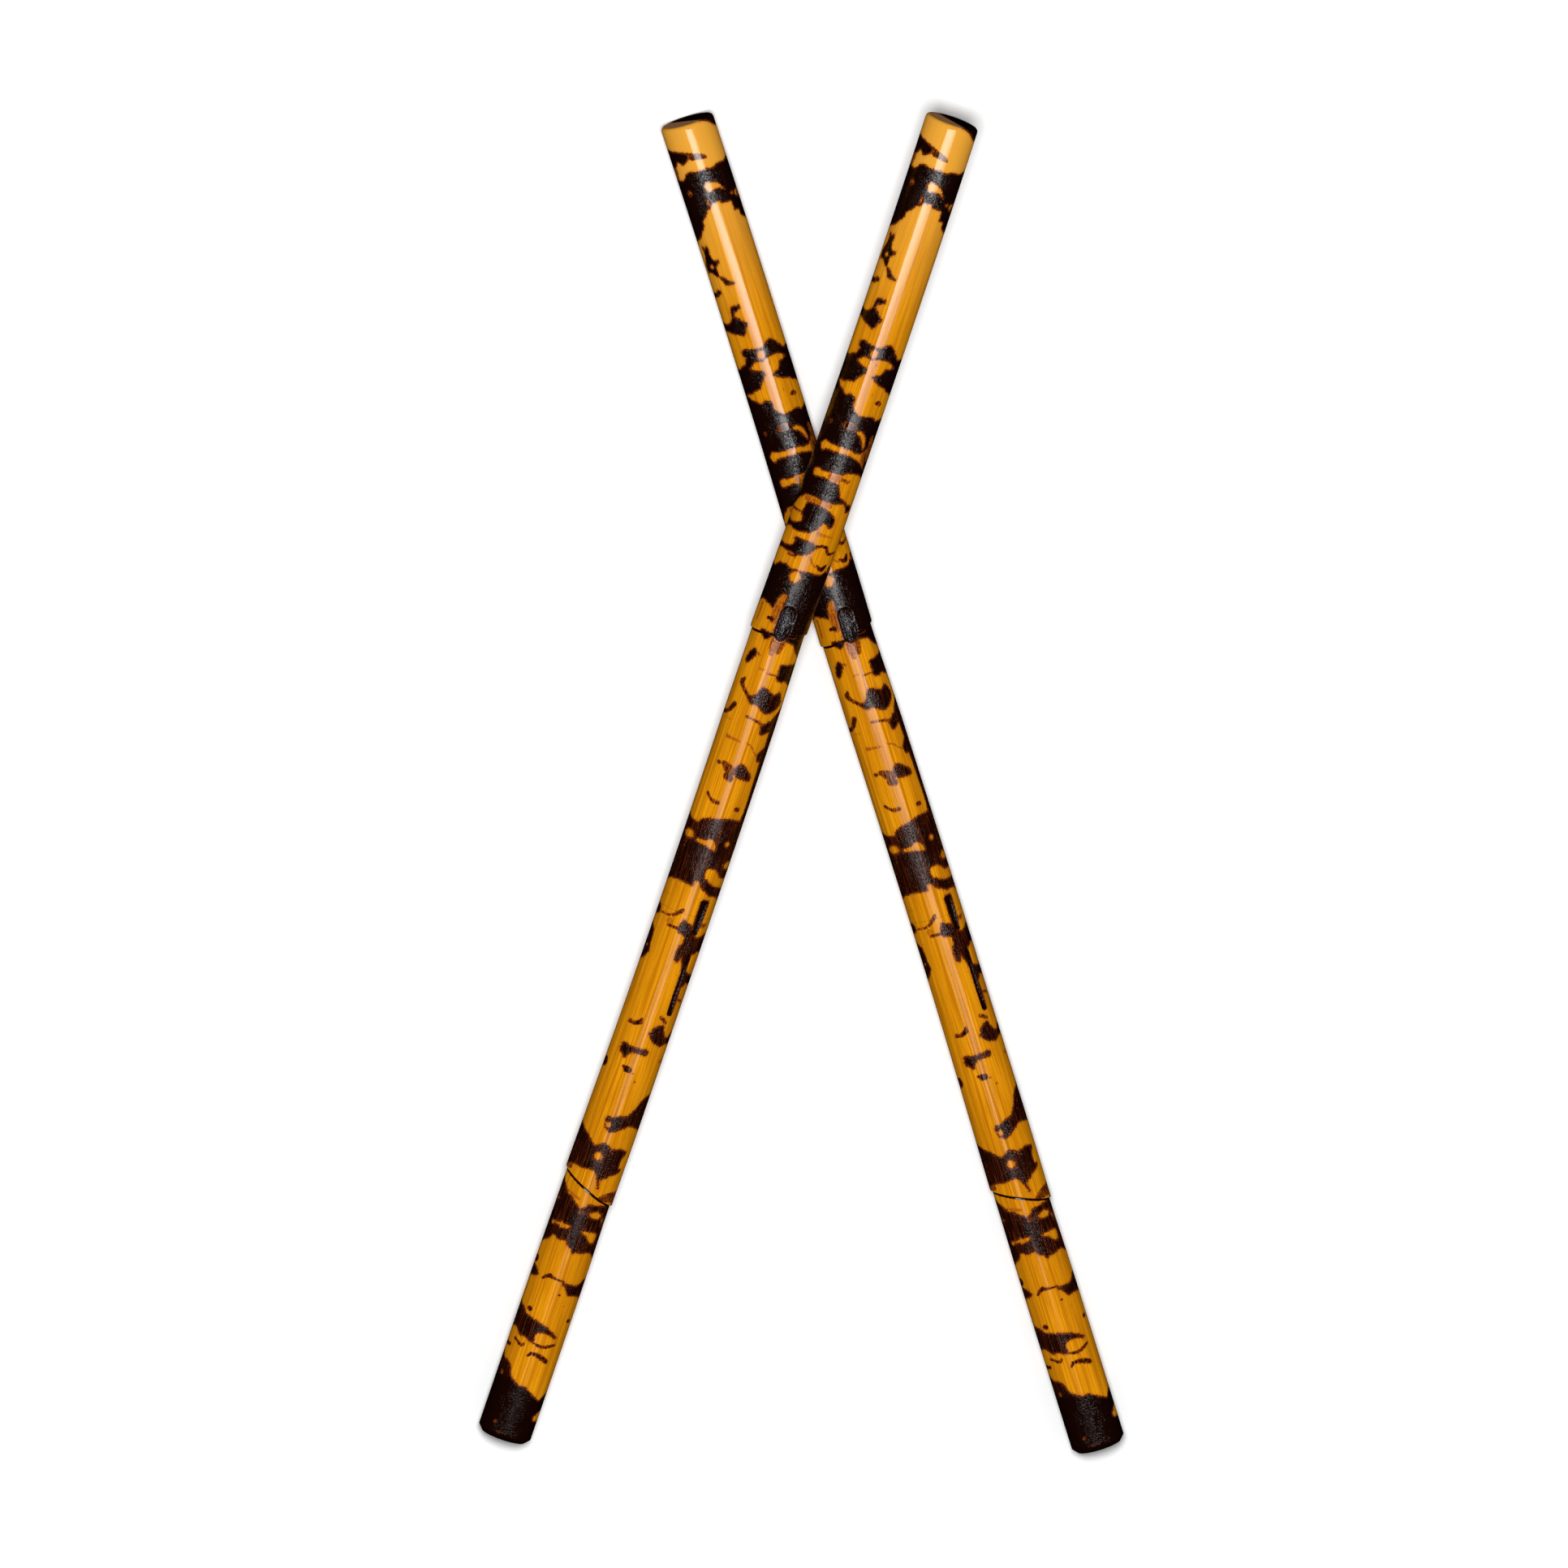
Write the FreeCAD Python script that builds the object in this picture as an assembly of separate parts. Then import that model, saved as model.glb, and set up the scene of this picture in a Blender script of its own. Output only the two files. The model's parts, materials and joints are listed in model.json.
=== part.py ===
"""A pair of long rattan striking sticks, lying crossed on a table.

Units are millimetres. Row frame: +Z is up and the table is at z = 0. +Y points from the grip ends to the
tip ends, along the line that halves the angle of the cross, and +X points to the side where the upper
stick's tip lies. The origin is on the table, below the middle of the pair.

Each stick is one solid length of cane, made of three internodes. Towards the grip end an internode swells
into a skirt, which ends in a slanting ring. The next internode starts there with a thinner neck. The front
of a stick lies uppermost. It carries a bud scar at one ring and two short splits in the rind.

Stick frame: origin at the centre of the grip face, +Z along the cane towards the tip, front towards -Y,
and angles in degrees from the front line towards +X, the stick's right.
"""
import FreeCAD
import Part

import math
import os

from FreeCAD import Vector

# ---- the cane ------------------------------------------------------------------------------------
STICK_LENGTH = 660.4          # 26 inches, face to face
STICK_DIAMETER = 25.4         # 1 inch, on the plain stretches
SKIRT_RISE = 0.5              # how far a skirt stands above the plain radius
SKIRT_RUN = 110.0             # length over which a skirt swells
NECK_DROP = 0.42              # how far a neck lies below the plain radius
NECK_RUN = 50.0               # length over which a neck swells back to it
GRIP_RING_HEIGHT = 126.0      # ring nearest the grip, measured from the grip face
GRIP_RING_SLOPE = -0.43       # rise of that ring towards the right
TIP_RING_HEIGHT = 405.2       # ring nearest the tip, measured from the grip face
TIP_RING_SLOPE = 0.17
BOW_DEPTH = 0.95              # how far an internode bows to the right at its middle

# ---- ends ----------------------------------------------------------------------------------------
GRIP_CHAMFER_WIDTH = 2.2      # taken off the radius
GRIP_CHAMFER_HEIGHT = 2.4     # taken off the length
GRIP_SHAFT_LENGTH = 60.0      # truly round and straight stretch above the chamfer
TIP_ROUNDING = 1.6            # radius of the rounded edge of the tip face

# ---- bud scar and splits on the front ------------------------------------------------------------
SCAR_ANGLE = 7.0
SCAR_ABOVE_RING = 6.1         # from the ring near the tip to the middle of the scar
SCAR_WIDTH = 7.4
SCAR_LENGTH = 17.0
SCAR_DEPTH = 1.1              # below the skirt's surface
BUD_WIDTH = 6.0
BUD_LENGTH = 15.2
BUD_BELOW_SKIRT = 0.35        # how far the dead bud stays below the skirt's surface
SPLITS = (                    # height of its middle, angle, length, width, depth
    (265.5, 36.5, 17.0, 2.8, 0.9),
    (232.5, 42.0, 31.0, 1.7, 0.9),
)

# ---- how the two sticks lie ----------------------------------------------------------------------
CROSSING_ANGLE = 35.4         # between the two sticks, seen from above
LOWER_CROSSING_FROM_TIP = 196.0
UPPER_CROSSING_FROM_TIP = 202.0
LOWER_ROLL = -1.0             # how far each stick is rolled about its own length
UPPER_ROLL = -7.0
REST_GAP = 0.3                # between the two sticks where they cross

PLAIN_RADIUS = STICK_DIAMETER / 2
SKIRT_RADIUS = PLAIN_RADIUS + SKIRT_RISE
GRIP_SHAFT_TOP = GRIP_CHAMFER_HEIGHT + GRIP_SHAFT_LENGTH
SECTIONS = 24                 # steps in which an internode's profile is followed
TUCK = 3.0                    # how far two internodes overlap, past the slant of their ring
ALONG = Vector(0, 0, 1)
ACROSS = Vector(1, 0, 0)
CENTRE = Vector(0, 0, 0)


def fade(share):
    """1 at share 0, easing down to 0 at share 1, and level beyond both."""
    rest = 1.0 - min(1.0, max(0.0, share))
    return rest * rest * (3.0 - 2.0 * rest)


def skirt_swell(height, ring_height):
    return SKIRT_RISE * fade((height - ring_height) / SKIRT_RUN)


def neck_dip(height, ring_height):
    return NECK_DROP * fade((ring_height - height) / NECK_RUN)


def cane_radius(height):
    """Radius of the cane at a height, leaving out the slant of its rings."""
    if height < GRIP_RING_HEIGHT:
        return PLAIN_RADIUS - neck_dip(height, GRIP_RING_HEIGHT)
    if height < TIP_RING_HEIGHT:
        return PLAIN_RADIUS + skirt_swell(height, GRIP_RING_HEIGHT) - neck_dip(height, TIP_RING_HEIGHT)
    return PLAIN_RADIUS + skirt_swell(height, TIP_RING_HEIGHT)


def steps(low, high):
    return [low + (high - low) * i / SECTIONS for i in range(SECTIONS + 1)]


def overlap(slope):
    """How far above and below the middle of a ring its two internodes overlap."""
    return abs(slope) * SKIRT_RADIUS + TUCK


def bowed_internode(bottom, top, low, high, radius_at):
    """An internode between two rings, lofted from height low to height high."""
    circles = []
    for height in steps(low, high):
        share = (height - bottom) / (top - bottom)
        middle = Vector(4 * BOW_DEPTH * share * (1 - share), 0, height)
        circles.append(Part.Wire([Part.makeCircle(radius_at(height), middle, ALONG)]))
    return Part.makeLoft(circles, True, False)


def above_ring(internode, ring_height, slope):
    """Trims the foot of an internode to its slanting ring."""
    size = 2 * STICK_LENGTH
    block = Part.makeBox(size, size, size, Vector(-size / 2, -size / 2, -size))
    block.rotate(CENTRE, Vector(0, 1, 0), -math.degrees(math.atan(slope)))
    block.translate(ALONG * ring_height)
    return internode.cut(block)


def grip_internode():
    """Chamfered grip end, the round shaft, and the neck that tucks into the skirt above it."""
    top = GRIP_RING_HEIGHT + overlap(GRIP_RING_SLOPE)
    neck_radius = PLAIN_RADIUS - NECK_DROP
    neck = Part.BSplineCurve()
    neck.interpolate([
        Vector(PLAIN_RADIUS - neck_dip(height, GRIP_RING_HEIGHT), 0, height)
        for height in steps(GRIP_SHAFT_TOP, GRIP_RING_HEIGHT)
    ])
    outline = Part.makePolygon([
        Vector(neck_radius, 0, GRIP_RING_HEIGHT),
        Vector(neck_radius, 0, top),
        Vector(0, 0, top),
        CENTRE,
        Vector(PLAIN_RADIUS - GRIP_CHAMFER_WIDTH, 0, 0),
        Vector(PLAIN_RADIUS, 0, GRIP_CHAMFER_HEIGHT),
        Vector(PLAIN_RADIUS, 0, GRIP_SHAFT_TOP),
    ])
    profile = Part.Face(Part.Wire([neck.toShape()] + outline.Edges))
    return profile.revolve(CENTRE, ALONG, 360)


def middle_internode():
    def radius_at(height):
        swell = skirt_swell(height, GRIP_RING_HEIGHT)
        return PLAIN_RADIUS + swell - neck_dip(height, TIP_RING_HEIGHT)

    low = GRIP_RING_HEIGHT - overlap(GRIP_RING_SLOPE)
    high = TIP_RING_HEIGHT + overlap(TIP_RING_SLOPE)
    internode = bowed_internode(GRIP_RING_HEIGHT, TIP_RING_HEIGHT, low, high, radius_at)
    return above_ring(internode, GRIP_RING_HEIGHT, GRIP_RING_SLOPE)


def tip_internode():
    """The internode at the tip, with the edge of its end face rounded."""
    def radius_at(height):
        return PLAIN_RADIUS + skirt_swell(height, TIP_RING_HEIGHT)

    low = TIP_RING_HEIGHT - overlap(TIP_RING_SLOPE)
    internode = bowed_internode(TIP_RING_HEIGHT, STICK_LENGTH, low, STICK_LENGTH, radius_at)
    tip_face = max(internode.Faces, key=lambda face: face.CenterOfMass.z)
    rounded = internode.makeFillet(TIP_ROUNDING, tip_face.Edges)
    return above_ring(rounded, TIP_RING_HEIGHT, TIP_RING_SLOPE)


def round_ended_block(width, length, height, angle):
    """A block with half-round ends along the cane, from the floor of the scar outwards."""
    straight = length - width
    floor = SCAR_DEPTH - SKIRT_RADIUS
    outwards = 2 * SCAR_DEPTH
    block = Part.makeBox(width, outwards, straight, Vector(-width / 2, floor - outwards, -straight / 2))
    for end in (-straight / 2, straight / 2):
        block = block.fuse(Part.makeCylinder(width / 2, outwards, Vector(0, floor, end), Vector(0, -1, 0)))
    block.translate(ALONG * height)
    block.rotate(CENTRE, ALONG, angle)
    return block


def with_bud_scar(cane):
    """Cuts the hollow of the scar and leaves the dead bud standing in it."""
    height = TIP_RING_HEIGHT + SCAR_ABOVE_RING
    hollow = round_ended_block(SCAR_WIDTH, SCAR_LENGTH, height, SCAR_ANGLE)
    bud = round_ended_block(BUD_WIDTH, BUD_LENGTH, height, SCAR_ANGLE)
    bud_crown = Part.makeCylinder(SKIRT_RADIUS - BUD_BELOW_SKIRT, STICK_LENGTH)
    return cane.cut(hollow).fuse(bud.common(bud_crown))


def with_splits(cane):
    """Cuts each split as a disc that stands along the cane and dips into the rind."""
    for height, angle, length, width, depth in SPLITS:
        disc_radius = ((length / 2) ** 2 + depth ** 2) / (2 * depth)
        disc = Part.makeCylinder(disc_radius, width, ACROSS * (-width / 2), ACROSS)
        disc.translate(Vector(0, depth - cane_radius(height) - disc_radius, height))
        disc.rotate(CENTRE, ALONG, angle)
        cane = cane.cut(disc)
    return cane


def make_stick():
    cane = grip_internode().fuse([middle_internode(), tip_internode()])
    return with_splits(with_bud_scar(cane)).removeSplitter().Solids[0]


def grip_centre_height(tilt):
    """Height of the grip face's centre when the edge above its chamfer rests on the table."""
    return PLAIN_RADIUS * math.cos(tilt) - GRIP_CHAMFER_HEIGHT * math.sin(tilt)


def upper_tilt():
    """Angle, in radians, at which the upper stick leans on the lower one, found in a few rounds."""
    lower_radius = cane_radius(STICK_LENGTH - LOWER_CROSSING_FROM_TIP)
    upper_height = STICK_LENGTH - UPPER_CROSSING_FROM_TIP
    apart = lower_radius + cane_radius(upper_height) + REST_GAP
    turn = math.radians(CROSSING_ANGLE)
    tilt = 0.0
    for _ in range(8):
        side = math.sin(turn) * math.cos(tilt)
        rise = apart * math.hypot(math.sin(tilt), side) / side
        tilt = math.asin((SKIRT_RADIUS + rise - grip_centre_height(tilt)) / upper_height)
    return tilt


def lay_down(stick, turn, roll, tilt, crossing_from_tip, centre_height):
    """Lays a stick down, front up, so that it passes over the origin at its crossing."""
    laid = stick.copy()
    laid.rotate(CENTRE, ALONG, roll)
    laid.rotate(CENTRE, ACROSS, math.degrees(tilt) - 90)
    back = (STICK_LENGTH - crossing_from_tip) * math.cos(tilt)
    laid.translate(Vector(0, -back, centre_height))
    laid.rotate(CENTRE, ALONG, turn)
    return laid


def main():
    stick = make_stick()
    half_turn = CROSSING_ANGLE / 2
    tilt = upper_tilt()
    sticks = {
        "lower_stick": lay_down(stick, half_turn, LOWER_ROLL, 0.0, LOWER_CROSSING_FROM_TIP, SKIRT_RADIUS),
        "upper_stick": lay_down(stick, -half_turn, UPPER_ROLL, tilt, UPPER_CROSSING_FROM_TIP,
                                grip_centre_height(tilt)),
    }
    middle = Part.makeCompound(list(sticks.values())).optimalBoundingBox(True, False).Center
    os.makedirs("parts", exist_ok=True)
    for name, shape in sticks.items():
        shape.translate(Vector(-middle.x, -middle.y, 0))
        shape.exportStep("parts/" + name + ".step")
        print(name, "valid:", shape.isValid(), "volume:", round(shape.Volume), "mm3")
    print("the upper stick leans at", round(math.degrees(tilt), 3), "degrees")


main()
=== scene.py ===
"""Looks for a pair of scorched rattan sticks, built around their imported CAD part.

Each stick is one solid length of cane, so it is one mesh. The mesh is the part's profile spun round, then
pressed into shape at the rings, the bud scar and the splits. The scorching is a drawing of outlines on the
unrolled cane. Each vertex keeps how far it lies inside a charred outline and how strongly it is browned,
and the material breaks those up into ragged, streaked edges.

Places on the cane are given in millimetres from the tip face and degrees from the front line, the stick's
right being positive. The stick frame has its origin at the centre of the grip face, +Z along the cane
towards the tip, the front towards -Y and the right towards +X.
"""

import json
import math

import bmesh
import bpy
import numpy as np
from mathutils import Matrix, Vector, noise


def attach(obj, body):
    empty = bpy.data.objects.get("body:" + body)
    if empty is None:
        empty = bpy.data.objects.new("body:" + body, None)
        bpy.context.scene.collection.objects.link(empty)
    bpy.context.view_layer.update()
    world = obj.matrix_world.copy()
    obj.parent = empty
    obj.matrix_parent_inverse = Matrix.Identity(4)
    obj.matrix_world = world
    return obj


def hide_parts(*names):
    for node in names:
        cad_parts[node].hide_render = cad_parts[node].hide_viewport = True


bl_info = {
    "name": "Scorched rattan sticks",
    "version": (1, 0, 0),
    "blender": (4, 5, 0),
    "location": "3D View > Sidebar > Rattan",
    "description": "Builds two lacquered rattan sticks and the studio they lie in",
    "category": "Object",
}

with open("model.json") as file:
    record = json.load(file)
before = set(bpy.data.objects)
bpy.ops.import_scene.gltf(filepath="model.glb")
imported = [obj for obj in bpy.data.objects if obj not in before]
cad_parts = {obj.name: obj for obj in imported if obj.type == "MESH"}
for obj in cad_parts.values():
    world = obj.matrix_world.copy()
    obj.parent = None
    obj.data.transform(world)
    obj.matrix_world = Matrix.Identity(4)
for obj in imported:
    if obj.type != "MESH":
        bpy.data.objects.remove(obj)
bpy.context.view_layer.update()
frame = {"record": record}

MM = 0.001

# ---- the cane, in millimetres, as the CAD part has it -----------------------------------------------
STICK_LENGTH = 660.4
PLAIN_RADIUS = 12.7
SKIRT_RISE = 0.5              # the swelling above a ring
SKIRT_RUN = 110.0
NECK_DROP = 0.42              # the drawn-in neck below a ring
NECK_RUN = 50.0
GRIP_RING_HEIGHT = 126.0      # from the grip face
GRIP_RING_SLOPE = -0.43       # how steeply the ring rises to the stick's right
TIP_RING_HEIGHT = 405.2
TIP_RING_SLOPE = 0.17
RING_HEIGHTS = (GRIP_RING_HEIGHT, TIP_RING_HEIGHT)
BOW_DEPTH = 0.95              # sideways bend of each length above a ring
CHAMFER_WIDTH = 2.2
CHAMFER_HEIGHT = 2.4
TIP_ROUNDING = 1.6

# ---- the mesh ---------------------------------------------------------------------------------------
ROW_STEP = 0.75               # along the cane
FINE_STEP = 0.3               # along the cane, close to a ring
FINE_REACH = 2.4              # how far from a ring the fine rows go
FRONT_COLUMNS = 82            # round the front half, where the outlines are drawn
BACK_COLUMNS = 24
SLANT_REACH = 40.0            # how far from a ring the rows still slant with it
FACE_STEPS = 6                # rows from the middle of an end face to its rim
WELD = 0.001

# ---- the bud scar, the splits and the lips of the rings ----------------------------------------------
SCAR_CENTRE = (249.1, 7.0)    # mm from the tip, degrees
SCAR_WIDTH = 7.4
SCAR_LENGTH = 17.0
SCAR_DEPTH = 1.1
SCAR_RIM_RISE = 0.16          # how far the rind stands up round the scar
BUD_RISE = 0.85               # how far the dead bud stands up from the floor of the scar
BUD_FULLNESS = 0.75           # the share of that rise that the bud has between its lumps
BUD_LUMPS = ((0.35, 0.9), (0.2, 2.1))   # share of the rise, and fineness per mm, of each size of lump
SPLITS = (                    # mm from the tip, degrees, length, width at the tip end, at the other, depth
    (394.9, 36.5, 17.0, 3.6, 2.6, 0.9),
    (427.9, 42.0, 31.0, 1.6, 2.2, 0.9),
)
LIP_RUN = 0.45                # length over which a skirt drops to its neck
CRACK_DEPTH = 0.22            # the fine crack round the cane at a ring
CRACK_RUN = 0.45
SIDE_OF_SCAR = 60             # degrees from the front past which there is neither scar nor bud

# ---- the scorching ----------------------------------------------------------------------------------
EDGE_OF_DRAWING = 79.0        # an outline that reaches this far from the front runs on round the side
RUN_ON_TO = 97.0
REACH = 6.0                   # distances are worked out no further than this from an outline, in mm
SOLID_CHAR = 12.0             # kept as the depth of char that is neither thin nor streaked, in mm
CURVE_STEPS = 4               # straight pieces between two points of a smooth outline
BUD = (
    (241.3, 3), (242.2, 10), (244.6, 15), (246.3, 22), (248.6, 25), (250.2, 21), (251.4, 13), (254, 12),
    (256.9, 11), (257.2, 2), (256, -2), (252, -3), (249.5, -4), (245.5, -4), (242.4, -3),
)
CHARRED = {
    "wedge at the tip": ((-1, 30), (0.6, 40), (2, 52), (4.5, 68), (5, 80), (-2, 80)),
    "first stroke": (
        (10.7, -80), (11.3, -60), (12, -45), (12.8, -30), (13.8, -24), (15.5, -26), (17.6, -40), (16, -50),
        (17, -60), (18.5, -65), (18.5, -80),
    ),
    "first band": (
        (27, -80), (26, -58), (25, -48), (23, -40), (22.2, -30), (22.8, -20), (22.8, -5), (22.5, 5),
        (23.2, 15), (22.8, 25), (22, 37), (22.3, 55), (22.5, 80), (50, 80), (49.5, 65), (48.5, 58), (46, 56),
        (45.2, 49), (45, 43), (43, 42), (41, 41), (40.2, 36), (39.8, 28), (39.8, 18), (38.5, 17),
        (38.2, 8), (38.5, 3), (38.8, -5), (40.3, -10), (40.8, -16), (42, -22), (44, -29), (45.5, -36),
        (46.5, -39), (48, -38), (50.5, -46), (53, -56), (54.5, -68), (54, -80),
    ),
    "left chain": (
        (58.5, -62), (60.2, -57), (58.6, -50), (59, -47), (62, -48), (64, -46), (65.5, -42), (66, -36),
        (65.8, -31), (67.5, -35), (68.5, -40), (70, -42), (72, -40), (73.2, -42), (72.5, -48), (71, -56),
        (70.8, -66), (71, -70), (68.5, -72), (66, -67), (64, -64), (62, -60),
    ),
    "small wedge": (
        (74, -34), (74.6, -30), (76, -24), (77.3, -18), (78, -12), (78, -20), (77.8, -27), (76.5, -31),
        (75, -35),
    ),
    "mark at the left side": (
        (80.5, -58), (80.3, -52), (81.5, -50), (82, -56), (83, -66), (83.5, -80), (82, -80), (81.5, -66),
    ),
    "hook": (
        (89.2, -34), (88.9, -26), (89.1, -22), (88.9, -17), (90, -17), (90.6, -22), (91.2, -27),
        (91, -31), (92, -33), (94, -34.5), (94, -38), (92, -37.5), (90.8, -36.5),
    ),
    "diamond": (
        (94, -37), (94.5, -32), (95.3, -26), (96.5, -21), (98.2, -12), (99.8, -17), (101.5, -19), (103, -24),
        (102.7, -32), (101.8, -43), (101, -55), (100.2, -64), (99.5, -80), (96, -80), (97, -68), (97.2, -58),
        (96.6, -50), (95, -43),
    ),
    "bird": (
        (113, -40), (111.2, -43), (110.3, -34), (110.6, -25), (111, -18), (111.2, -10), (111.4, 2),
        (111.2, 8), (110, 14), (109, 20), (108.6, 27), (110, 35), (112, 42), (113.5, 50), (115, 58),
        (115.5, 80), (130.8, 80), (130.5, 60), (129.5, 52), (128.5, 42), (127.8, 30), (126.5, 20),
        (125.5, 12), (124.6, 7), (124.3, 0), (123.6, -5.5), (124.2, -9), (125.5, -14), (127.5, -21),
        (129.5, -27), (129.8, -35), (130.3, -42), (131.2, -50), (131.3, -60), (131, -80), (119.8, -80),
        (119.6, -70), (119, -60), (118, -52), (117, -42), (115.5, -39), (114, -36),
    ),
    "second band": (
        (135.5, -80), (135.3, -55), (136, -45), (137.2, -35), (137.2, -30), (136.2, -25), (136.5, -18),
        (137.5, -12), (139.5, -12), (141.5, -9), (143.5, -2), (144.7, 7), (144.8, 14), (144.3, 27),
        (144, 38), (144.8, 48), (145.5, 55), (145.8, 80), (172, 80), (171.8, 60), (171.6, 45), (171.8, 30),
        (172.5, 20), (173.5, 15), (173.5, -5), (173.8, -18), (174, -30), (173.8, -40), (175, -49),
        (177.4, -49), (178.5, -40), (177.8, -20), (178, -6), (179, 15), (181, 20), (183, 25), (184.5, 28),
        (185.3, 35), (186, 44), (187.3, 52), (187.6, 60), (188.3, 70), (190.3, 68), (190.5, 58),
        (188.5, 53), (187, 46), (186.6, 36), (187.3, 28), (187.5, 14), (187.5, -42), (188.5, -52),
        (190, -62), (191, -80),
    ),
    "third band": (
        (191.2, -35), (191, -20), (191, 0), (192, 12), (193.5, 24), (195, 32), (197, 34), (198.8, 32),
        (199.5, 27), (198.3, 22), (197.8, 17), (198, 9), (200, 6), (202, 1), (203.3, -5), (204.2, -13),
        (204.8, -25), (205.3, -38), (205, -50), (204.6, -62), (205.5, -80), (202, -80), (203, -62),
        (202.5, -48), (201.5, -38), (200, -34), (198, -35), (196.6, -40), (195, -37.5), (193, -35.5),
    ),
    "patch above the fourth band": (
        (209, -36), (208.6, -25), (208.8, -10), (208.7, 3), (209.8, 12), (210, 16), (211, 12), (213, 6),
        (214.3, 0), (215, -6), (215.6, -14), (216, -18), (217, -20), (216, -26), (215.5, -34), (215.7, -45),
        (215.5, -60), (215.8, -80), (214, -80), (214.3, -60), (213.6, -45), (213.2, -38), (211, -32),
        (210, -31),
    ),
    "fourth band": (
        (225.5, -80), (225.5, -68), (224, -58), (222.8, -50), (222.9, -42), (222.4, -34), (223.3, -26),
        (223.5, -21), (223, 9), (222.8, 20), (223, 30), (222.8, 40), (222.6, 50), (221.5, 55), (220.5, 60),
        (221.5, 68), (222, 80), (252.5, 80), (252.8, 60), (253.5, 48), (254.2, 36), (253.8, 28), (254, 16),
        (252, 4), (246, -8), (240, -7), (236.5, -7), (235, -13), (236, -20), (238, -24), (240, -26),
        (242, -28), (243.5, -30), (242.5, -38), (242.3, -48), (241.5, -60), (242, -80),
    ),
    "pocket below the ring": (
        (255.5, -37), (255.2, -30), (255.6, -20), (255.6, -12), (257, -14), (258.4, -21), (258.5, -27),
        (257.4, -33),
    ),
    "below the ring, right": (
        (255, 20), (255.2, 35), (254.6, 48), (253.8, 60), (253.8, 80), (264, 80), (262.5, 68), (261, 58),
        (259.5, 52), (258, 47), (257.6, 38), (257, 28), (256.6, 22),
    ),
    "leaf": (
        (265.5, -43), (265.8, -36), (267.5, -33), (269, -38), (271, -43), (272.5, -50), (272, -56),
        (270, -56), (268, -52), (266.5, -47),
    ),
    "right mark below the leaf": (
        (269, 30), (268.6, 40), (268.3, 50), (268, 60), (267.5, 80), (278, 80), (277, 68), (276, 60),
        (275.8, 50), (276.3, 42), (275.8, 32), (274.5, 28), (273, 30), (271.5, 29), (270.5, 31),
    ),
    "blistered arch": (
        (281.3, 6), (281.5, 14), (282.5, 24), (283.5, 33), (283.3, 40), (282, 47), (283, 54), (285, 60),
        (287, 62), (288.5, 58), (290, 52), (291, 45), (292, 38), (292.5, 28), (291.8, 20), (290.5, 12),
        (289.5, 2), (290, -6), (289, -15), (287.5, -14), (286.5, -8), (285, -2), (283, 2),
    ),
    "stripe down the right side": (
        (292, 80), (293, 62), (296, 52), (296.5, 44), (298, 38), (298.5, 30), (301, 29), (302.8, 33),
        (302.3, 42), (301.5, 48), (301.5, 57), (306, 58), (309, 58), (311, 50), (313, 44), (315.5, 47),
        (316, 58), (320, 60), (330, 62), (340, 64), (345.5, 63), (348, 80),
    ),
    "speckled patch": (
        (319.5, 12), (319.2, 16), (320, 24), (322, 33), (323, 40), (325.5, 44), (325.8, 35), (325.5, 20),
        (325, 10), (322, 5), (320.5, 8),
    ),
    "fifth band": (
        (352, -80), (351.8, -60), (352, -48), (352.2, -38), (350.5, -32), (349.5, -25), (348.3, -15),
        (348, -5), (347.5, 3), (347, 10), (346.3, 22), (345.8, 35), (346, 50), (346, 62), (345, 80),
        (383, 80), (383.5, 65), (383.2, 52), (383.5, 42), (382.5, 32), (381.5, 25), (380.3, 17),
        (378.6, 12), (377.8, 8), (377.8, -2), (380.5, -4), (380.5, -10), (380.2, -30), (380.3, -40),
        (380.8, -60), (380.7, -80),
    ),
    "first split": (
        (386.6, 29), (386.4, 44), (388, 46), (394, 45), (399, 43), (403.2, 39), (403.4, 30), (399, 27.5),
        (391, 27),
    ),
    "mark beside the first split": (
        (397, -80), (395.6, -72), (396.4, -64), (398.6, -63), (399.6, -72), (399.5, -80),
    ),
    "sixth mass": (
        (398, 5), (399, 14), (399.5, 22), (401, 28), (403, 33), (404.5, 40), (404.7, 50), (404, 60),
        (403, 70), (403, 80), (411, 80), (411, 65), (412, 58), (412.5, 50), (413, 44), (415, 38),
        (414.5, 28), (415, 24), (417.5, 18), (417, 13), (414, 11), (411.5, 12), (410, 14), (408.5, 18),
        (406, 19), (404.5, 14), (404, 5), (403.5, 0), (402, -2), (400, 1),
    ),
    "sixth mass, left": (
        (405, -80), (407, -66), (409, -60), (412, -57), (414, -58), (416, -54), (418, -54), (420, -60),
        (422, -72), (422, -80),
    ),
    "second split": (
        (412, 29), (415, 27), (418, 31), (421, 36.5), (430, 37), (437, 37.5), (441, 40), (443.2, 44),
        (442.5, 48), (440, 50), (430, 48), (424, 47), (418, 45), (412, 44),
    ),
    "arm of the second split": (
        (422, 45), (422.5, 55), (423, 62), (423.5, 80), (428, 80), (427, 68), (427, 60), (428.5, 54),
        (428.5, 45),
    ),
    "crescent": (
        (449.3, 38), (449.5, 32), (450.5, 24), (452, 18), (454.5, 14), (455.5, 18), (457, 24), (458, 31),
        (458.3, 38), (459, 45), (458.5, 52), (457.5, 60), (457.5, 66), (456, 80), (453, 80), (452.5, 75),
        (454.5, 66), (455, 60), (454.5, 52), (453, 47), (451.5, 42),
    ),
    "bar across the front": (
        (462.5, -36), (462.3, -28), (462.8, -15), (462.8, -5), (462.7, 4), (462.8, 12), (462.2, 17),
        (463, 22), (464.5, 20), (464.5, 12), (464.3, 3), (464.8, -5), (465.3, -12), (466.5, -17),
        (468.4, -21), (467.5, -26), (466, -30), (466.5, -34), (465, -37), (463.5, -34),
    ),
    "hook on the right": (
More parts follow.
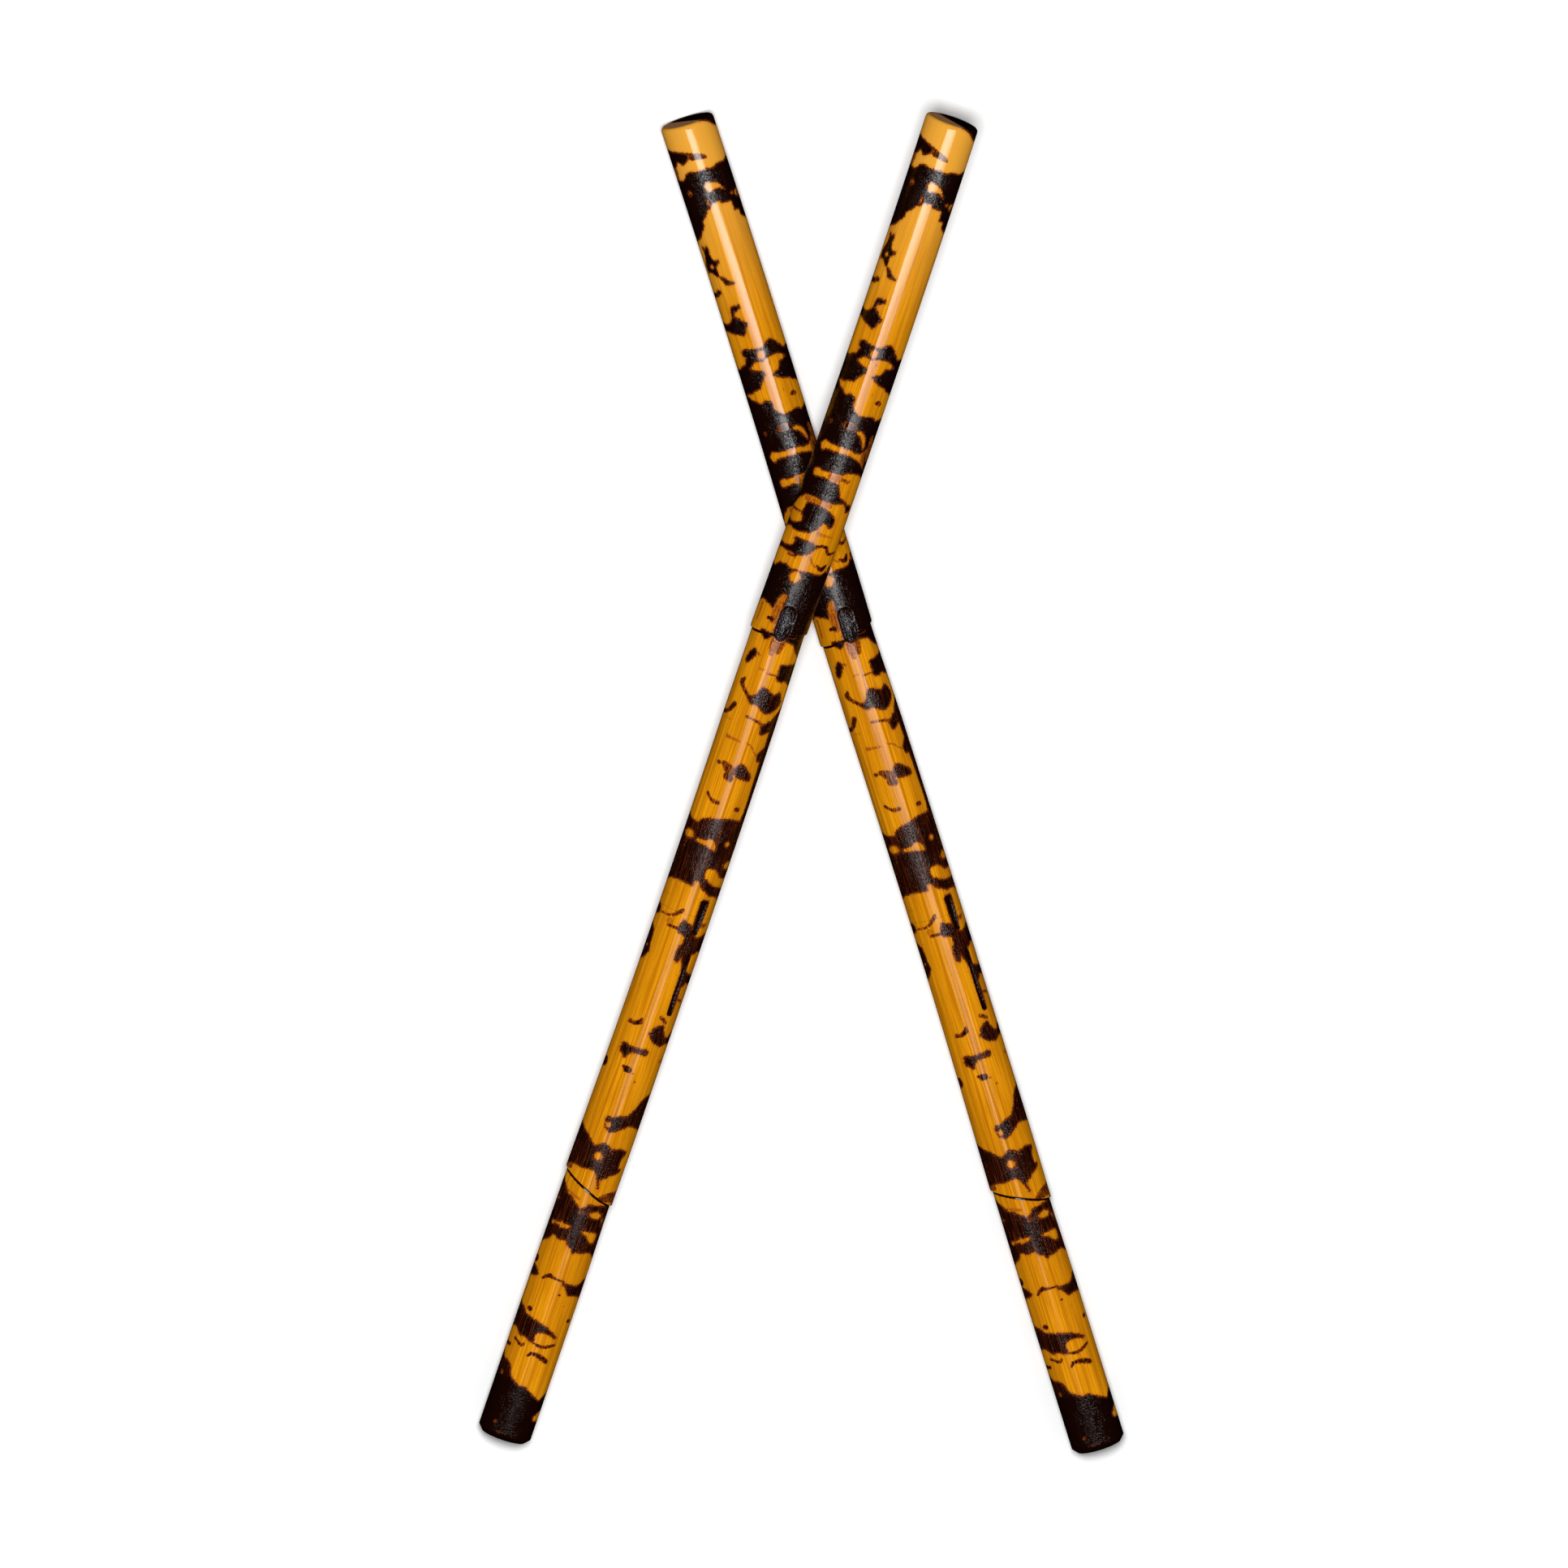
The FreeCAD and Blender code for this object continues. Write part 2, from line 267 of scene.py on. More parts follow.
        (483.5, 80), (484, 70), (485, 60), (486.5, 52), (489, 46), (491.5, 40), (493.5, 34), (495.3, 28),
        (495.8, 20), (496.3, 12), (497.3, 4), (498, -3), (498.2, -12), (499.8, -13), (499.6, -5),
        (500.3, 0), (502, 1), (502.8, -4), (504, -2), (504, 5), (503.3, 12), (502, 20), (501, 27),
        (500, 33), (499.3, 42), (499.3, 52), (499.8, 60), (499.8, 80),
    ),
    "seventh band": (
        (506, -80), (506.3, -72), (507.5, -60), (508.5, -50), (509.5, -40), (511, -33), (512, -25),
        (513, -18), (512.3, -12), (511.5, -7), (510.8, -2), (510.8, 3), (511.3, 10), (512.3, 16),
        (512.3, 26), (511.5, 34), (511.5, 42), (512, 50), (512.5, 57), (514, 54), (515.5, 50), (517, 48),
        (519.5, 48), (521, 51), (521.3, 58), (522.5, 54), (523.3, 47), (524, 40), (524.8, 32),
        (525.8, 29), (526.3, 22), (527.2, 18), (528, 15), (531, 16), (531.8, 18), (529, 13), (527.5, 10),
        (525.5, 6), (524.3, 1), (523.8, -5), (524, -15), (524.5, -30), (524.5, -50), (525, -60), (525, -80),
    ),
    "below the grip ring": (
        (535, -80), (536, -60), (539, -45), (539.5, -33), (540, -28), (541, -24), (542, -18), (543, -10),
        (544, -4), (543.2, 3), (542.5, 8), (541, 14), (540.6, 28), (540, 60), (540, 80), (565, 80),
        (564.5, 70), (563.3, 60), (563, 50), (563.4, 40), (564, 28), (563.8, 18), (564.8, 12), (562.8, 8),
        (562.5, 2), (561.5, -4), (560, -10), (560.2, -15), (560.5, -28), (559.6, -33), (559.5, -42),
        (560, -47), (562, -53), (563, -60), (564, -70), (565, -80),
    ),
    "left mark on the grip": (
        (576.5, -80), (577.5, -68), (578, -60), (578.8, -55), (580, -48), (581, -54), (581.5, -65),
        (582, -80),
    ),
    "right mark on the grip": (
        (579.2, 12), (580, 20), (580.3, 35), (580, 50), (578.8, 60), (577, 70), (577, 80), (585, 80),
        (584.8, 60), (584.6, 48), (585, 38), (584.3, 32), (583, 27), (581.5, 22), (580.5, 16),
    ),
    "eighth band": (
        (596, -80), (597, -66), (597.5, -57), (599, -48), (600, -42), (600.3, -33), (601, -20),
        (601.5, -8), (602.3, 5), (603.5, 18), (604.5, 27), (605.5, 35), (606.5, 42), (606.4, 36),
        (605.8, 30), (605.3, 20), (605, 8), (605.5, 0), (606.5, -6), (608.5, -8), (610.5, -7), (611, -12),
        (610, -22), (609.5, -30), (610, -38), (609, -45), (608, -52), (607, -62), (607, -80),
    ),
    "burnt grip end": (
        (624.5, -80), (624, -60), (624, -52), (624.8, -42), (626.5, -36), (628.5, -32), (630.5, -27),
        (631.3, -20), (632.5, -12), (633.3, -3), (633, 8), (634, 17), (635.5, 28), (637, 40), (638, 52),
        (637.3, 58), (636, 63), (635, 72), (634.5, 80), (668, 80), (668, -80),
    ),
}
# Unburnt cane inside the charred outlines.
CLEAR = {
    "first band, middle": (
        (30, -11), (28.3, -3), (28.4, 6), (29.5, 17), (31, 26), (34.6, 34.5), (34.3, 28), (33.2, 18),
        (33.4, 6), (33.8, -4), (32, -9),
    ),
    "first band, lens": ((35.5, -12), (37, -8.7), (39.5, -8.5), (39.8, -12), (38, -15.5)),
    "bird, body": (
        (120, -36), (118.5, -30), (117.2, -24), (116.3, -17), (117, -8), (117, -3), (116.5, 3), (115.7, 12),
        (115.5, 22), (115.7, 34), (116.5, 42), (117.8, 50), (118.8, 56), (119.5, 50), (119.8, 42),
        (120.5, 33), (122.5, 29), (124, 22), (124.4, 14), (126, 9), (127, 3), (126, -3), (124, -7),
        (122.8, -8), (122, -12), (121.5, -20),
    ),
    "second band, comma": (
        (152, 13), (151, 22), (151.3, 30), (152.5, 37), (154.5, 43), (157, 46), (159.5, 46), (159.8, 41),
        (158, 37), (156.5, 33), (154.5, 27), (153.5, 20),
    ),
    "second band, bar": (
        (160.2, -46), (160.6, -35), (160.8, -20), (160.8, 15), (161.6, 28), (161.6, 40), (160.4, 50),
        (158.5, 55), (161, 60), (164, 58), (167.6, 66), (170, 72), (168.5, 60), (166.5, 48), (165.5, 36),
        (164.8, 25), (164.4, 14), (164.4, -20), (164.6, -34), (166, -46), (163.2, -58),
    ),
    "fifth band, bar": (
        (358.5, -27), (358.3, -10), (357, -2), (356.8, 6), (358, 14), (360, 19), (362, 20), (362.3, 12),
        (362, 5), (361.3, -5), (360.8, -20), (360.5, -28),
    ),
    "fifth band, triangle": (
        (371, 14), (370.3, 25), (370.4, 36), (371.5, 42), (373, 50), (374, 58), (374.5, 80), (379.5, 80),
        (379.5, 60), (379, 45), (378.5, 36), (377.5, 28), (376.5, 20), (376, 14), (373, 13),
    ),
    "below the grip ring, right bar": (
        (553.3, 14), (553, 30), (553, 45), (553.3, 58), (555, 63), (557, 61), (559, 55), (558.8, 45),
        (557.5, 36), (556, 28), (555.3, 20), (554.5, 14),
    ),
    "below the grip ring, left bar": (
        (553.5, -64), (553.2, -50), (553, -40), (552, -33), (552.5, -26), (552.5, -15), (553, -9),
        (554.5, -8), (555, -15), (555.3, -24), (555.8, -30), (555, -38), (555.2, -48), (555.8, -60),
        (555, -65),
    ),
    "burnt grip end, drop": (
        (648.3, 60), (648, 55), (646.5, 50.5), (645, 54), (644.5, 60), (643, 68), (642, 80), (648, 80),
    ),
}
# Unburnt ovals: mm from the tip, degrees, half length along the cane and half width round it, in mm.
CLEAR_OVALS = (
    (32, -47, 1.5, 1.5), (68.4, -51, 1.4, 1.5), (114.3, -3, 2.5, 2.3), (226.3, -6, 3.2, 3.1),
    (219.5, 61, 1.7, 1.6), (358.5, -52, 2.4, 4.2), (357.7, 43, 1.7, 1.7), (368, 67, 2.4, 3.4),
    (517, -4, 2.5, 2.4), (545, 38, 2.1, 4.6), (199.7, -54, 2.7, 4.4), (543.2, -69, 0.8, 1.6),
    (415.5, -68, 0.9, 1.0), (38.3, 65, 1.9, 1.9), (37.5, 49, 0.9, 1.2),
)
# Browned strokes: how brown, then mm from the tip, degrees and half width in mm of each point they pass.
BROWNED = (
    (0.66, (14.2, -22, 1.6), (15.2, -12, 1.7), (15.6, -2, 1.5), (16.2, 8, 1.1), (17, 13, 0.7)),
    (0.5, (19, -80, 3.0), (21, -74, 2.6), (25, -72, 1.2)),
    (0.55, (31.6, -47, 1.0), (32.6, -47, 1.0)),
    (0.5, (37.5, 46, 0.8), (37.5, 52, 0.8)),
    (0.7, (73, -42, 0.5), (74.5, -36, 0.4)),
    (0.3, (98.6, -44, 0.4), (100.4, -44, 0.4)),
    (0.35, (118.5, 9, 0.4), (119.6, 9, 0.4)),
    (0.3, (132.5, 22, 0.35), (133.8, 22, 0.35)),
    (0.7, (136.6, 39, 1.0), (136.4, 43, 1.3), (136.9, 48, 1.0)),
    (0.5, (157, 54, 2.0), (164, 62, 3.5), (160, 72, 2.5)),
    (0.55, (175.7, 20, 0.7), (176, 27, 0.9), (176.5, 33, 0.8), (175.8, 38, 0.6)),
    (0.36, (176, -4, 1.9), (175.8, 12, 2.0)),
    (0.36, (189.3, -40, 1.7), (189.3, -20, 1.8), (189.3, 0, 1.8), (189.3, 12, 1.6)),
    (0.8, (196.7, -80, 0.5), (196.7, -62, 0.45), (196.7, -42, 0.4)),
    (0.3, (203.5, 10, 1.3), (203.8, 20, 0.9), (203.8, 45, 0.4)),
    (0.8, (214.3, -80, 0.8), (214.4, -60, 0.7), (214, -40, 0.7)),
    (0.6, (217, -37, 1.0), (217, -27, 0.9)),
    (0.85, (209.5, 14, 0.7), (209.5, 20, 0.6), (208.6, 26, 0.6), (209, 33, 0.6), (208.8, 38, 0.7),
     (210.5, 42, 0.8), (212, 47, 0.7), (212, 55, 0.6), (211, 68, 0.5)),
    (0.4, (215, 10, 0.5), (217.5, 17, 0.5), (219, 24, 0.5), (219, 33, 0.5)),
    (0.85, (218.5, 30, 0.5), (219.7, 38, 0.9), (219.7, 46, 1.2), (218, 52, 0.8)),
    (0.7, (219.5, 70, 1.6), (219.5, 78, 1.8)),
    (0.35, (230.3, 60.5, 0.7), (230.3, 63.5, 0.7)),
    (0.38, (236.8, -14, 1.4), (240, -14, 2.0), (245, -17, 2.4), (249, -18, 2.0)),
    (0.85, (248.8, -31, 0.8), (249, -21, 0.9)),
    (0.4, (244, -60, 0.7), (252, -60, 0.6)),
    (0.42, (258, -2, 2.0), (262, -1, 2.0), (264.5, 0, 1.2)),
    (0.46, (257, 15, 2.0), (260, 14, 1.9), (263, 12, 1.2)),
    (0.45, (266.8, -29, 0.8), (267, -24, 0.6)),
    (0.55, (274, 5, 0.45), (274.2, 30, 0.5)),
    (0.35, (273, -15, 0.5), (273, -3, 0.5)),
    (0.7, (280.3, -41, 0.9), (282, -46, 1.5), (284, -38, 1.0), (286, -26, 0.9), (288, -15, 1.0)),
    (0.75, (293.5, -46, 1.5), (296, -53, 1.4), (298, -62, 1.0), (299, -80, 1.0)),
    (0.65, (296.5, -10, 0.5), (297, 10, 0.6), (298, 27, 0.8)),
    (0.25, (300.7, -63, 0.6), (300.7, -42, 0.6)),
    (0.45, (308.5, 10, 0.35), (309.5, 22, 0.35), (312, 32, 0.35), (313.5, 42, 0.5)),
    (0.35, (308.5, -36, 1.2), (308.7, -22, 0.7), (308.8, -6, 0.6)),
    (0.75, (321.5, -37.5, 0.9), (321.5, -34.5, 0.9)),
    (0.6, (321, -23, 1.3), (322.5, -12, 2.2), (323.5, -4, 2.6), (326.5, -8, 1.8), (327, 0, 1.6)),
    (0.65, (337, -38, 0.7), (339, -28, 0.7), (339.8, -20, 0.9), (339.7, -8, 0.9)),
    (0.8, (340.5, 34.5, 1.0), (340.5, 39.5, 1.0)),
    (0.4, (362, 55, 1.2), (362, 61, 1.2)),
    (0.2, (388.8, -75, 0.5), (388.8, -48, 0.5)),
    (0.65, (398, -55, 0.5), (398, -35, 0.5), (397, -22, 0.7), (395.5, -14, 1.0), (393.4, -5, 0.9)),
    (0.65, (402.5, -25, 0.7), (402.3, 0, 0.8)),
    (0.3, (400.5, -26, 1.8), (401, -24, 1.8)),
    (0.5, (398.3, 46, 0.9), (398.5, 53, 1.2), (398, 61, 0.9)),
    (0.6, (435.5, 49, 0.7), (435.8, 62, 0.7), (436.5, 68, 0.7)),
    (0.65, (445.3, 25, 0.8), (446.2, 33, 0.9), (447.5, 40, 0.9)),
    (0.75, (451.6, -38, 1.0), (451.8, -26, 0.9), (450.3, -14, 1.2), (448.6, -12, 0.6)),
    (0.85, (472.8, -16, 0.8), (473.4, -9, 1.5), (473.6, -4, 1.5)),
    (0.5, (474.7, 5, 0.5), (474.7, 7, 0.5)),
    (0.5, (478.3, 16, 0.5), (478.3, 18, 0.5)),
    (0.85, (474.5, -80, 2.6), (474.5, -72, 2.4)),
    (0.3, (466.5, 66, 1.4), (466.5, 72, 1.4)),
    (0.6, (501, -13, 0.5), (502.8, -10, 0.5), (503.5, -4, 0.5)),
    (0.5, (526.5, -58, 1.4), (527, -80, 1.6)),
    (0.6, (536.5, 34, 1.8), (535.5, 45, 2.3), (535, 58, 2.6), (535, 75, 3.0)),
    (0.35, (538, -55, 1.2), (538.5, -30, 1.0), (539.5, -12, 0.8)),
    (0.5, (545.2, -2, 1.0), (545.2, 7, 1.0)),
    (0.55, (546, 60, 1.8), (549, 70, 2.2)),
    (0.75, (580.8, -32, 0.6), (579.5, -26, 0.9), (578.3, -17, 0.9), (579, -10, 0.6), (579.3, 10, 0.45)),
    (0.7, (586, 14, 0.5), (586, 16, 0.5)),
    (0.85, (596.8, -40, 1.1), (596.8, -36, 1.1)),
    (0.85, (597.5, 61, 1.0), (597.5, 65, 1.0)),
    (0.85, (574, -80, 1.6), (574, -72, 1.8)),
    (0.75, (611.2, -4, 0.5), (612, 5, 0.6), (612.2, 14, 0.8), (611.5, 26, 0.8), (610.5, 36, 0.7),
     (609.8, 44, 0.6)),
    (0.8, (612.5, -52, 0.6), (613, -44, 0.6), (614, -36, 0.6), (614.5, -28, 0.6), (613.5, -24, 0.6)),
    (0.8, (616.5, -80, 1.0), (616.5, -60, 0.8)),
    (0.8, (618, -8, 0.5), (616.5, -2, 0.8), (616.3, 6, 0.9), (616.5, 14, 1.1), (617.3, 24, 1.2),
     (618.5, 36, 1.1)),
)
# Strokes of thinner char inside the charred outlines, given in the same way. The last is a painted glint
# along the lip of the tip ring.
THINNED = (
    (0.62, (31.6, -47, 0.9), (32.5, -47, 0.9)),
    (0.75, (151.5, -49, 0.8), (151.5, -47, 0.8)),
    (0.8, (150.5, -13, 1.4), (150.3, 0, 1.9), (150.6, 10, 1.4)),
    (0.55, (154, 62, 1.6), (158, 66, 2.0), (164, 70, 1.8)),
    (0.62, (545.2, -2, 0.8), (545.2, 7, 0.8)),
    (0.6, (547, 64, 1.4), (549, 70, 1.6)),
    (0.55, (630, -57, 1.1), (630, -55, 1.1)),
    (0.8, (652.7, -29, 0.7), (652.7, -27, 0.7)),
    (0.8, (656.7, -14, 0.5), (656.7, -12, 0.5)),
    (0.55, (39, 70, 1.6), (38, 75, 1.6)),
    # Painted glint: a pale amber line along the lip of the tip ring, where the lip catches the light.
    (0.3, (254.1, 20, 0.45), (254.2, 34, 0.45), (253.9, 48, 0.45)),
)


# ---- the finish, in millimetres, with shares and roughnesses ----------------------------------------
PALE_TIP_AND_SHEEN = (115, 4)           # from the tip, where the paler cane with its painted sheen begins and where it is palest
PALE_AND_SHEEN_SHARE = 0.85
CRACK_BELOW_RING = 0.25
CRACK_SHADE = (1.05, 0.6)      # from a crack's middle, where its dark line of painted shade begins and where it is full
CHAR_ROUGHNESS = 0.12
BUD_ROUGHNESS = 0.15          # more than the lacquer's
FIBRE_HEIGHT = 0.010
BLISTER_HEIGHT = 0.12
BARK_HEIGHT = 0.22            # of the blisters on the dead bud, over those of the char
MIDDLE_OF_CANE = (100, 200)   # heights between which the grip face's looks give way to the tip face's
BURN_SLANT = (0.75, 0.66)     # how fast the burn of an end face deepens towards the right and the back
FACE_BURN = (14.0, 0.5)       # depth of the char at the middle of the grip face and of the tip face
END_BLISTER_HEIGHT = 0.12
PORE_DEPTH = 0.08
END_ROUGHNESS = (0.55, 0.38)  # of sawn wood and of char
TIP_RING_STREAKS = (410, 360)   # heights between which streaks come up in the char
GRIP_END_STREAKS = (24, 34)
STREAKS_LET_IN = (2, 5)       # how far below SOLID_CHAR streaks are still shut out and are let in
LINED_HEIGHTS = (600, 300)    # between them the dark lines of the fibres come up, going down the cane
SPLIT_FLOOR = 0.1             # depth from which a split is black

# ---- the studio, in metres --------------------------------------------------------------------------
TABLE_REACH = 6.0
KEY_DISTANCE = 3.0
KEY_WIDTH = 0.7
STRIP_HEIGHT = 1.2
# Two opposite corners of each strip.
STRIPS = (
    ((-0.40, -0.29), (0.40, 0.15)), ((-0.42, -0.76), (-0.31, -0.29)), ((-0.15, -0.76), (0.08, -0.29)),
)
# Between which two places along Y the glow of the strips rises, and by how much.
STRIP_GLOW = (
    (-0.75, -0.70, 0.25), (-0.56, -0.44, 2.0), (-0.20, -0.08, 1.7), (-0.08, 0.04, 5.5),
)
# Towards the camera, its turn about that line, a point on the table, and how far to the right of that
# point and above it, in the view, the camera aims.
VIEW_DIRECTION = Vector((-0.0969, 0.1652, 0.9815)).normalized()
VIEW_ROLL = math.radians(-0.62)
VIEW_CENTRE = Vector((-0.0010, 0.1250, 0.0))
VIEW_OFFSET = (-0.01057, -0.12779)
SENSOR_WIDTH = 36.0
VIEW_REACH = 100.0


# ---- settings a user would change ------------------------------------------------------------------

def colour(name, description, value):
    return bpy.props.FloatVectorProperty(
        name=name, description=description, subtype="COLOR", size=4, min=0, max=1, default=(*value, 1),
    )


class StickSettings(bpy.types.PropertyGroup):
    lower_roll: bpy.props.FloatProperty(
        name="Lower roll", description="Turn of the lower stick about its length, towards its right",
        subtype="ANGLE", default=math.radians(-1),
    )
    upper_roll: bpy.props.FloatProperty(
        name="Upper roll", description="Turn of the upper stick about its length, towards its right",
        subtype="ANGLE", default=math.radians(-7),
    )
    cane_light: colour("Light cane", "Lighter fibres of the lacquered cane", (0.80, 0.318, 0.004))
    cane_dark: colour("Dark cane", "Darker fibres of the lacquered cane", (0.47, 0.155, 0.001))
    # Partly painted sheen: close to the tip this pale colour also stands in for the lacquer's broad sheen.
    tip_cane_and_sheen: colour("Tip cane and sheen", "Cane close to the tip, where the lacquer is thin, paler partly as painted sheen", (0.74, 0.34, 0.038))
    amber: colour("Amber", "Cane at the rim of a burn", (0.36, 0.09, 0.004))
    brown: colour("Brown", "Cane browned right through", (0.075, 0.011, 0.002))
    char: colour("Char", "Charred rind", (0.0070, 0.0013, 0.0005))
    # Partly grey bark, partly painted glints: the pale flecks on the dead bud also stand in for sparkles of
    # light.
    bud_grey_and_glints: colour("Bud", "Dead bark of the bud, with painted glints", (0.20, 0.20, 0.23))
    end_wood: colour("End wood", "Sawn wood of an end face", (0.45, 0.21, 0.07))
    lacquer_roughness: bpy.props.FloatProperty(
        name="Lacquer roughness", description="Roughness of the lacquer on clear cane",
        min=0, max=1, default=0.10,
    )
    back_drift: bpy.props.FloatProperty(
        name="Drift at the back", description="How far the scorching of the back drifts along the cane",
        unit="LENGTH", default=0.021,
    )


class StudioSettings(bpy.types.PropertyGroup):
    floor_colour: colour("Floor", "Colour of the table", (0.95, 0.95, 0.95))
    key_power: bpy.props.FloatProperty(
        name="Key light", description="Power of the soft light over the sticks, in watts",
        min=0, default=80,
    )
    glint: bpy.props.FloatProperty(
        name="Strip panels", description="Brightness of the strips that the lacquer mirrors",
        min=0, default=1.0,
    )
    ambient: bpy.props.FloatProperty(
        name="Ambient light", description="Brightness of the room", min=0, default=0.35,
    )
    camera_distance: bpy.props.FloatProperty(
        name="Camera distance", description="From the camera to the table", unit="LENGTH", default=30.0,
    )
    view_width: bpy.props.FloatProperty(
        name="View width", description="Width of the table seen", unit="LENGTH", default=0.7326,
    )


# ---- the shape of the cane --------------------------------------------------------------------------

def fade(share):
    """1 at share 0, easing down to 0 at share 1, and level beyond both."""
    rest = 1 - np.clip(share, 0, 1)
    return rest * rest * (3 - 2 * rest)


def smooth_step(low, high, value):
    """0 up to low, easing up to 1 at high, and level beyond both."""
    return fade((high - value) / (high - low))


def cane_radius(height):
    """Radius of the cane on a row of the mesh, before the rows slant."""
    ring = TIP_RING_HEIGHT if height > TIP_RING_HEIGHT else GRIP_RING_HEIGHT
    next_ring = GRIP_RING_HEIGHT if height < GRIP_RING_HEIGHT else TIP_RING_HEIGHT
    radius = PLAIN_RADIUS
    if height < TIP_RING_HEIGHT:
        radius -= NECK_DROP * fade((next_ring - height) / NECK_RUN)
    if height < GRIP_RING_HEIGHT:
        return radius
    swell = SKIRT_RISE * fade((height - ring) / SKIRT_RUN)
    lip = smooth_step(0, LIP_RUN, height - ring)
    neck_radius = PLAIN_RADIUS - NECK_DROP
    return neck_radius + (radius + swell - neck_radius) * lip


def row_heights():
    """Heights of the rows of the rind, closer together next to a ring."""
    rows = []
    height = CHAMFER_HEIGHT
    top = STICK_LENGTH - TIP_ROUNDING
    while height < top - ROW_STEP / 2:
        rows.append(height)
        near_ring = any(abs(height - ring) < FINE_REACH for ring in RING_HEIGHTS)
        height += FINE_STEP if near_ring else ROW_STEP
    return rows + [top]


def profile():
    """Radius and height of each row, from the middle of the grip face to the middle of the tip face."""
    rim = PLAIN_RADIUS - CHAMFER_WIDTH
    points = [(rim * step / FACE_STEPS, 0.0) for step in range(FACE_STEPS + 1)]
    points += [(cane_radius(height), height) for height in row_heights()]
    face_rim = points[-1][0] - TIP_ROUNDING
    for degrees in (30, 60, 90):
        turn = math.radians(degrees)
        height = STICK_LENGTH - TIP_ROUNDING * (1 - math.sin(turn))
        points.append((face_rim + TIP_ROUNDING * math.cos(turn), height))
    points += [(face_rim * step / FACE_STEPS, STICK_LENGTH) for step in range(FACE_STEPS - 1, -1, -1)]
    return points


def spun_cane():
    """The cane in the stick frame, in millimetres, with its closest columns round the front."""
    cane = bmesh.new()
    rim = [cane.verts.new((-radius, 0, height)) for radius, height in profile()]
    edges = [cane.edges.new(pair) for pair in zip(rim, rim[1:])]
    sheet_end = rim + edges
    for columns in (FRONT_COLUMNS, BACK_COLUMNS):
        half = bmesh.ops.spin(
            cane, geom=sheet_end, cent=(0, 0, 0), axis=(0, 0, 1), angle=math.pi, steps=columns,
        )
        sheet_end = half["geom_last"]
    bmesh.ops.remove_doubles(cane, verts=cane.verts, dist=WELD)
    bmesh.ops.recalc_face_normals(cane, faces=cane.faces)
    return cane


def by_scar(degrees, from_tip):
    """Which places lie close enough to the scar to have any of its shape."""
    return (np.abs(from_tip - SCAR_CENTRE[0]) < SCAR_LENGTH) & (np.abs(degrees) < SIDE_OF_SCAR)


def scar_hollow_distance(around, from_tip):
    """How far a place lies inside the scar's outline, which has half-round ends, in mm."""
    centre_from_tip, degrees = SCAR_CENTRE
    straight = (SCAR_LENGTH - SCAR_WIDTH) / 2
    past = np.maximum(np.abs(from_tip - centre_from_tip) - straight, 0)
    return SCAR_WIDTH / 2 - np.hypot(past, around - arc(degrees))


def arc(degrees):
    """Length round the plain cane that an angle spans."""
    return math.radians(degrees) * PLAIN_RADIUS


def scar_depth(around, from_tip):
    """How far the scar and its bud lie below the plain rind, in mm."""
    hollow = scar_hollow_distance(around, from_tip)
    bud = outline_distance(around, from_tip, flat_outline(BUD))
    floor = SCAR_DEPTH * smooth_step(-0.1, 0.8, hollow)
    lumps = BUD_FULLNESS
    for share, fineness in BUD_LUMPS:
        lumps = lumps + share * noise_at(around, from_tip, fineness)
    rim = SCAR_RIM_RISE * np.exp(-((hollow + 0.35) / 0.4) ** 2)
    return floor - BUD_RISE * smooth_step(-0.1, 1.0, bud) * lumps - rim


def noise_at(around, from_tip, fineness):
    places = zip(around, from_tip)
    return np.array([noise.noise(Vector((a * fineness, t * fineness, 0))) for a, t in places])


def split_depth(around, from_tip):
    """How deep the heat splits are pressed in, in mm."""
    depth = np.zeros(len(around))
    for centre, degrees, length, top_width, foot_width, deepest in SPLITS:
        along = (from_tip - centre) / (length / 2)
        width = top_width + (foot_width - top_width) * (along + 1) / 2
        inside = width / 2 - np.abs(around - arc(degrees))
        dip = np.clip(1 - along ** 2, 0, 1) ** 0.5
        depth = np.maximum(depth, deepest * dip * smooth_step(-0.35, 0.45, inside))
    return depth


def crack_depth(above_ring):
    return CRACK_DEPTH * np.exp(-((above_ring + 0.1) / CRACK_RUN) ** 2)


def bow(height):
    """How far the cane's two upper lengths bend to the stick's right."""
    sideways = np.zeros(len(height))
    for bottom, top in ((GRIP_RING_HEIGHT, TIP_RING_HEIGHT), (TIP_RING_HEIGHT, STICK_LENGTH)):
        part = np.clip((height - bottom) / (top - bottom), 0, 1)
        sideways += 4 * BOW_DEPTH * part * (1 - part)
    return sideways


def press_into_shape(places):
    """Slants the rows at the rings, presses in the scar, splits and cracks, and bows the cane.

    Returns the new places, and the degrees, the distance from the tip and the height over a ring of each.
    """
    x, y, height = places.T
    radius = np.hypot(x, y)
    degrees = np.degrees(np.arctan2(x, -y))
    near_tip = height > (TIP_RING_HEIGHT + GRIP_RING_HEIGHT) / 2
    above_ring = height - np.where(near_tip, TIP_RING_HEIGHT, GRIP_RING_HEIGHT)
    slope = np.where(near_tip, TIP_RING_SLOPE, GRIP_RING_SLOPE)
    height = height + slope * x * fade(np.abs(above_ring) / SLANT_REACH)
    from_tip = STICK_LENGTH - height
    around = np.radians(degrees) * PLAIN_RADIUS

    on_rind = radius > PLAIN_RADIUS - CHAMFER_WIDTH + WELD
    inward = np.where(on_rind, crack_depth(above_ring), 0)
    scar = on_rind & by_scar(degrees, from_tip)
    inward[scar] += scar_depth(around[scar], from_tip[scar])
    inward += np.where(on_rind, split_depth(around, from_tip), 0)
    share = 1 - inward / np.maximum(radius, 1)
    return np.column_stack((x * share + bow(height), y * share, height)), degrees, from_tip, above_ring


# ---- the drawing of the scorching -------------------------------------------------------------------

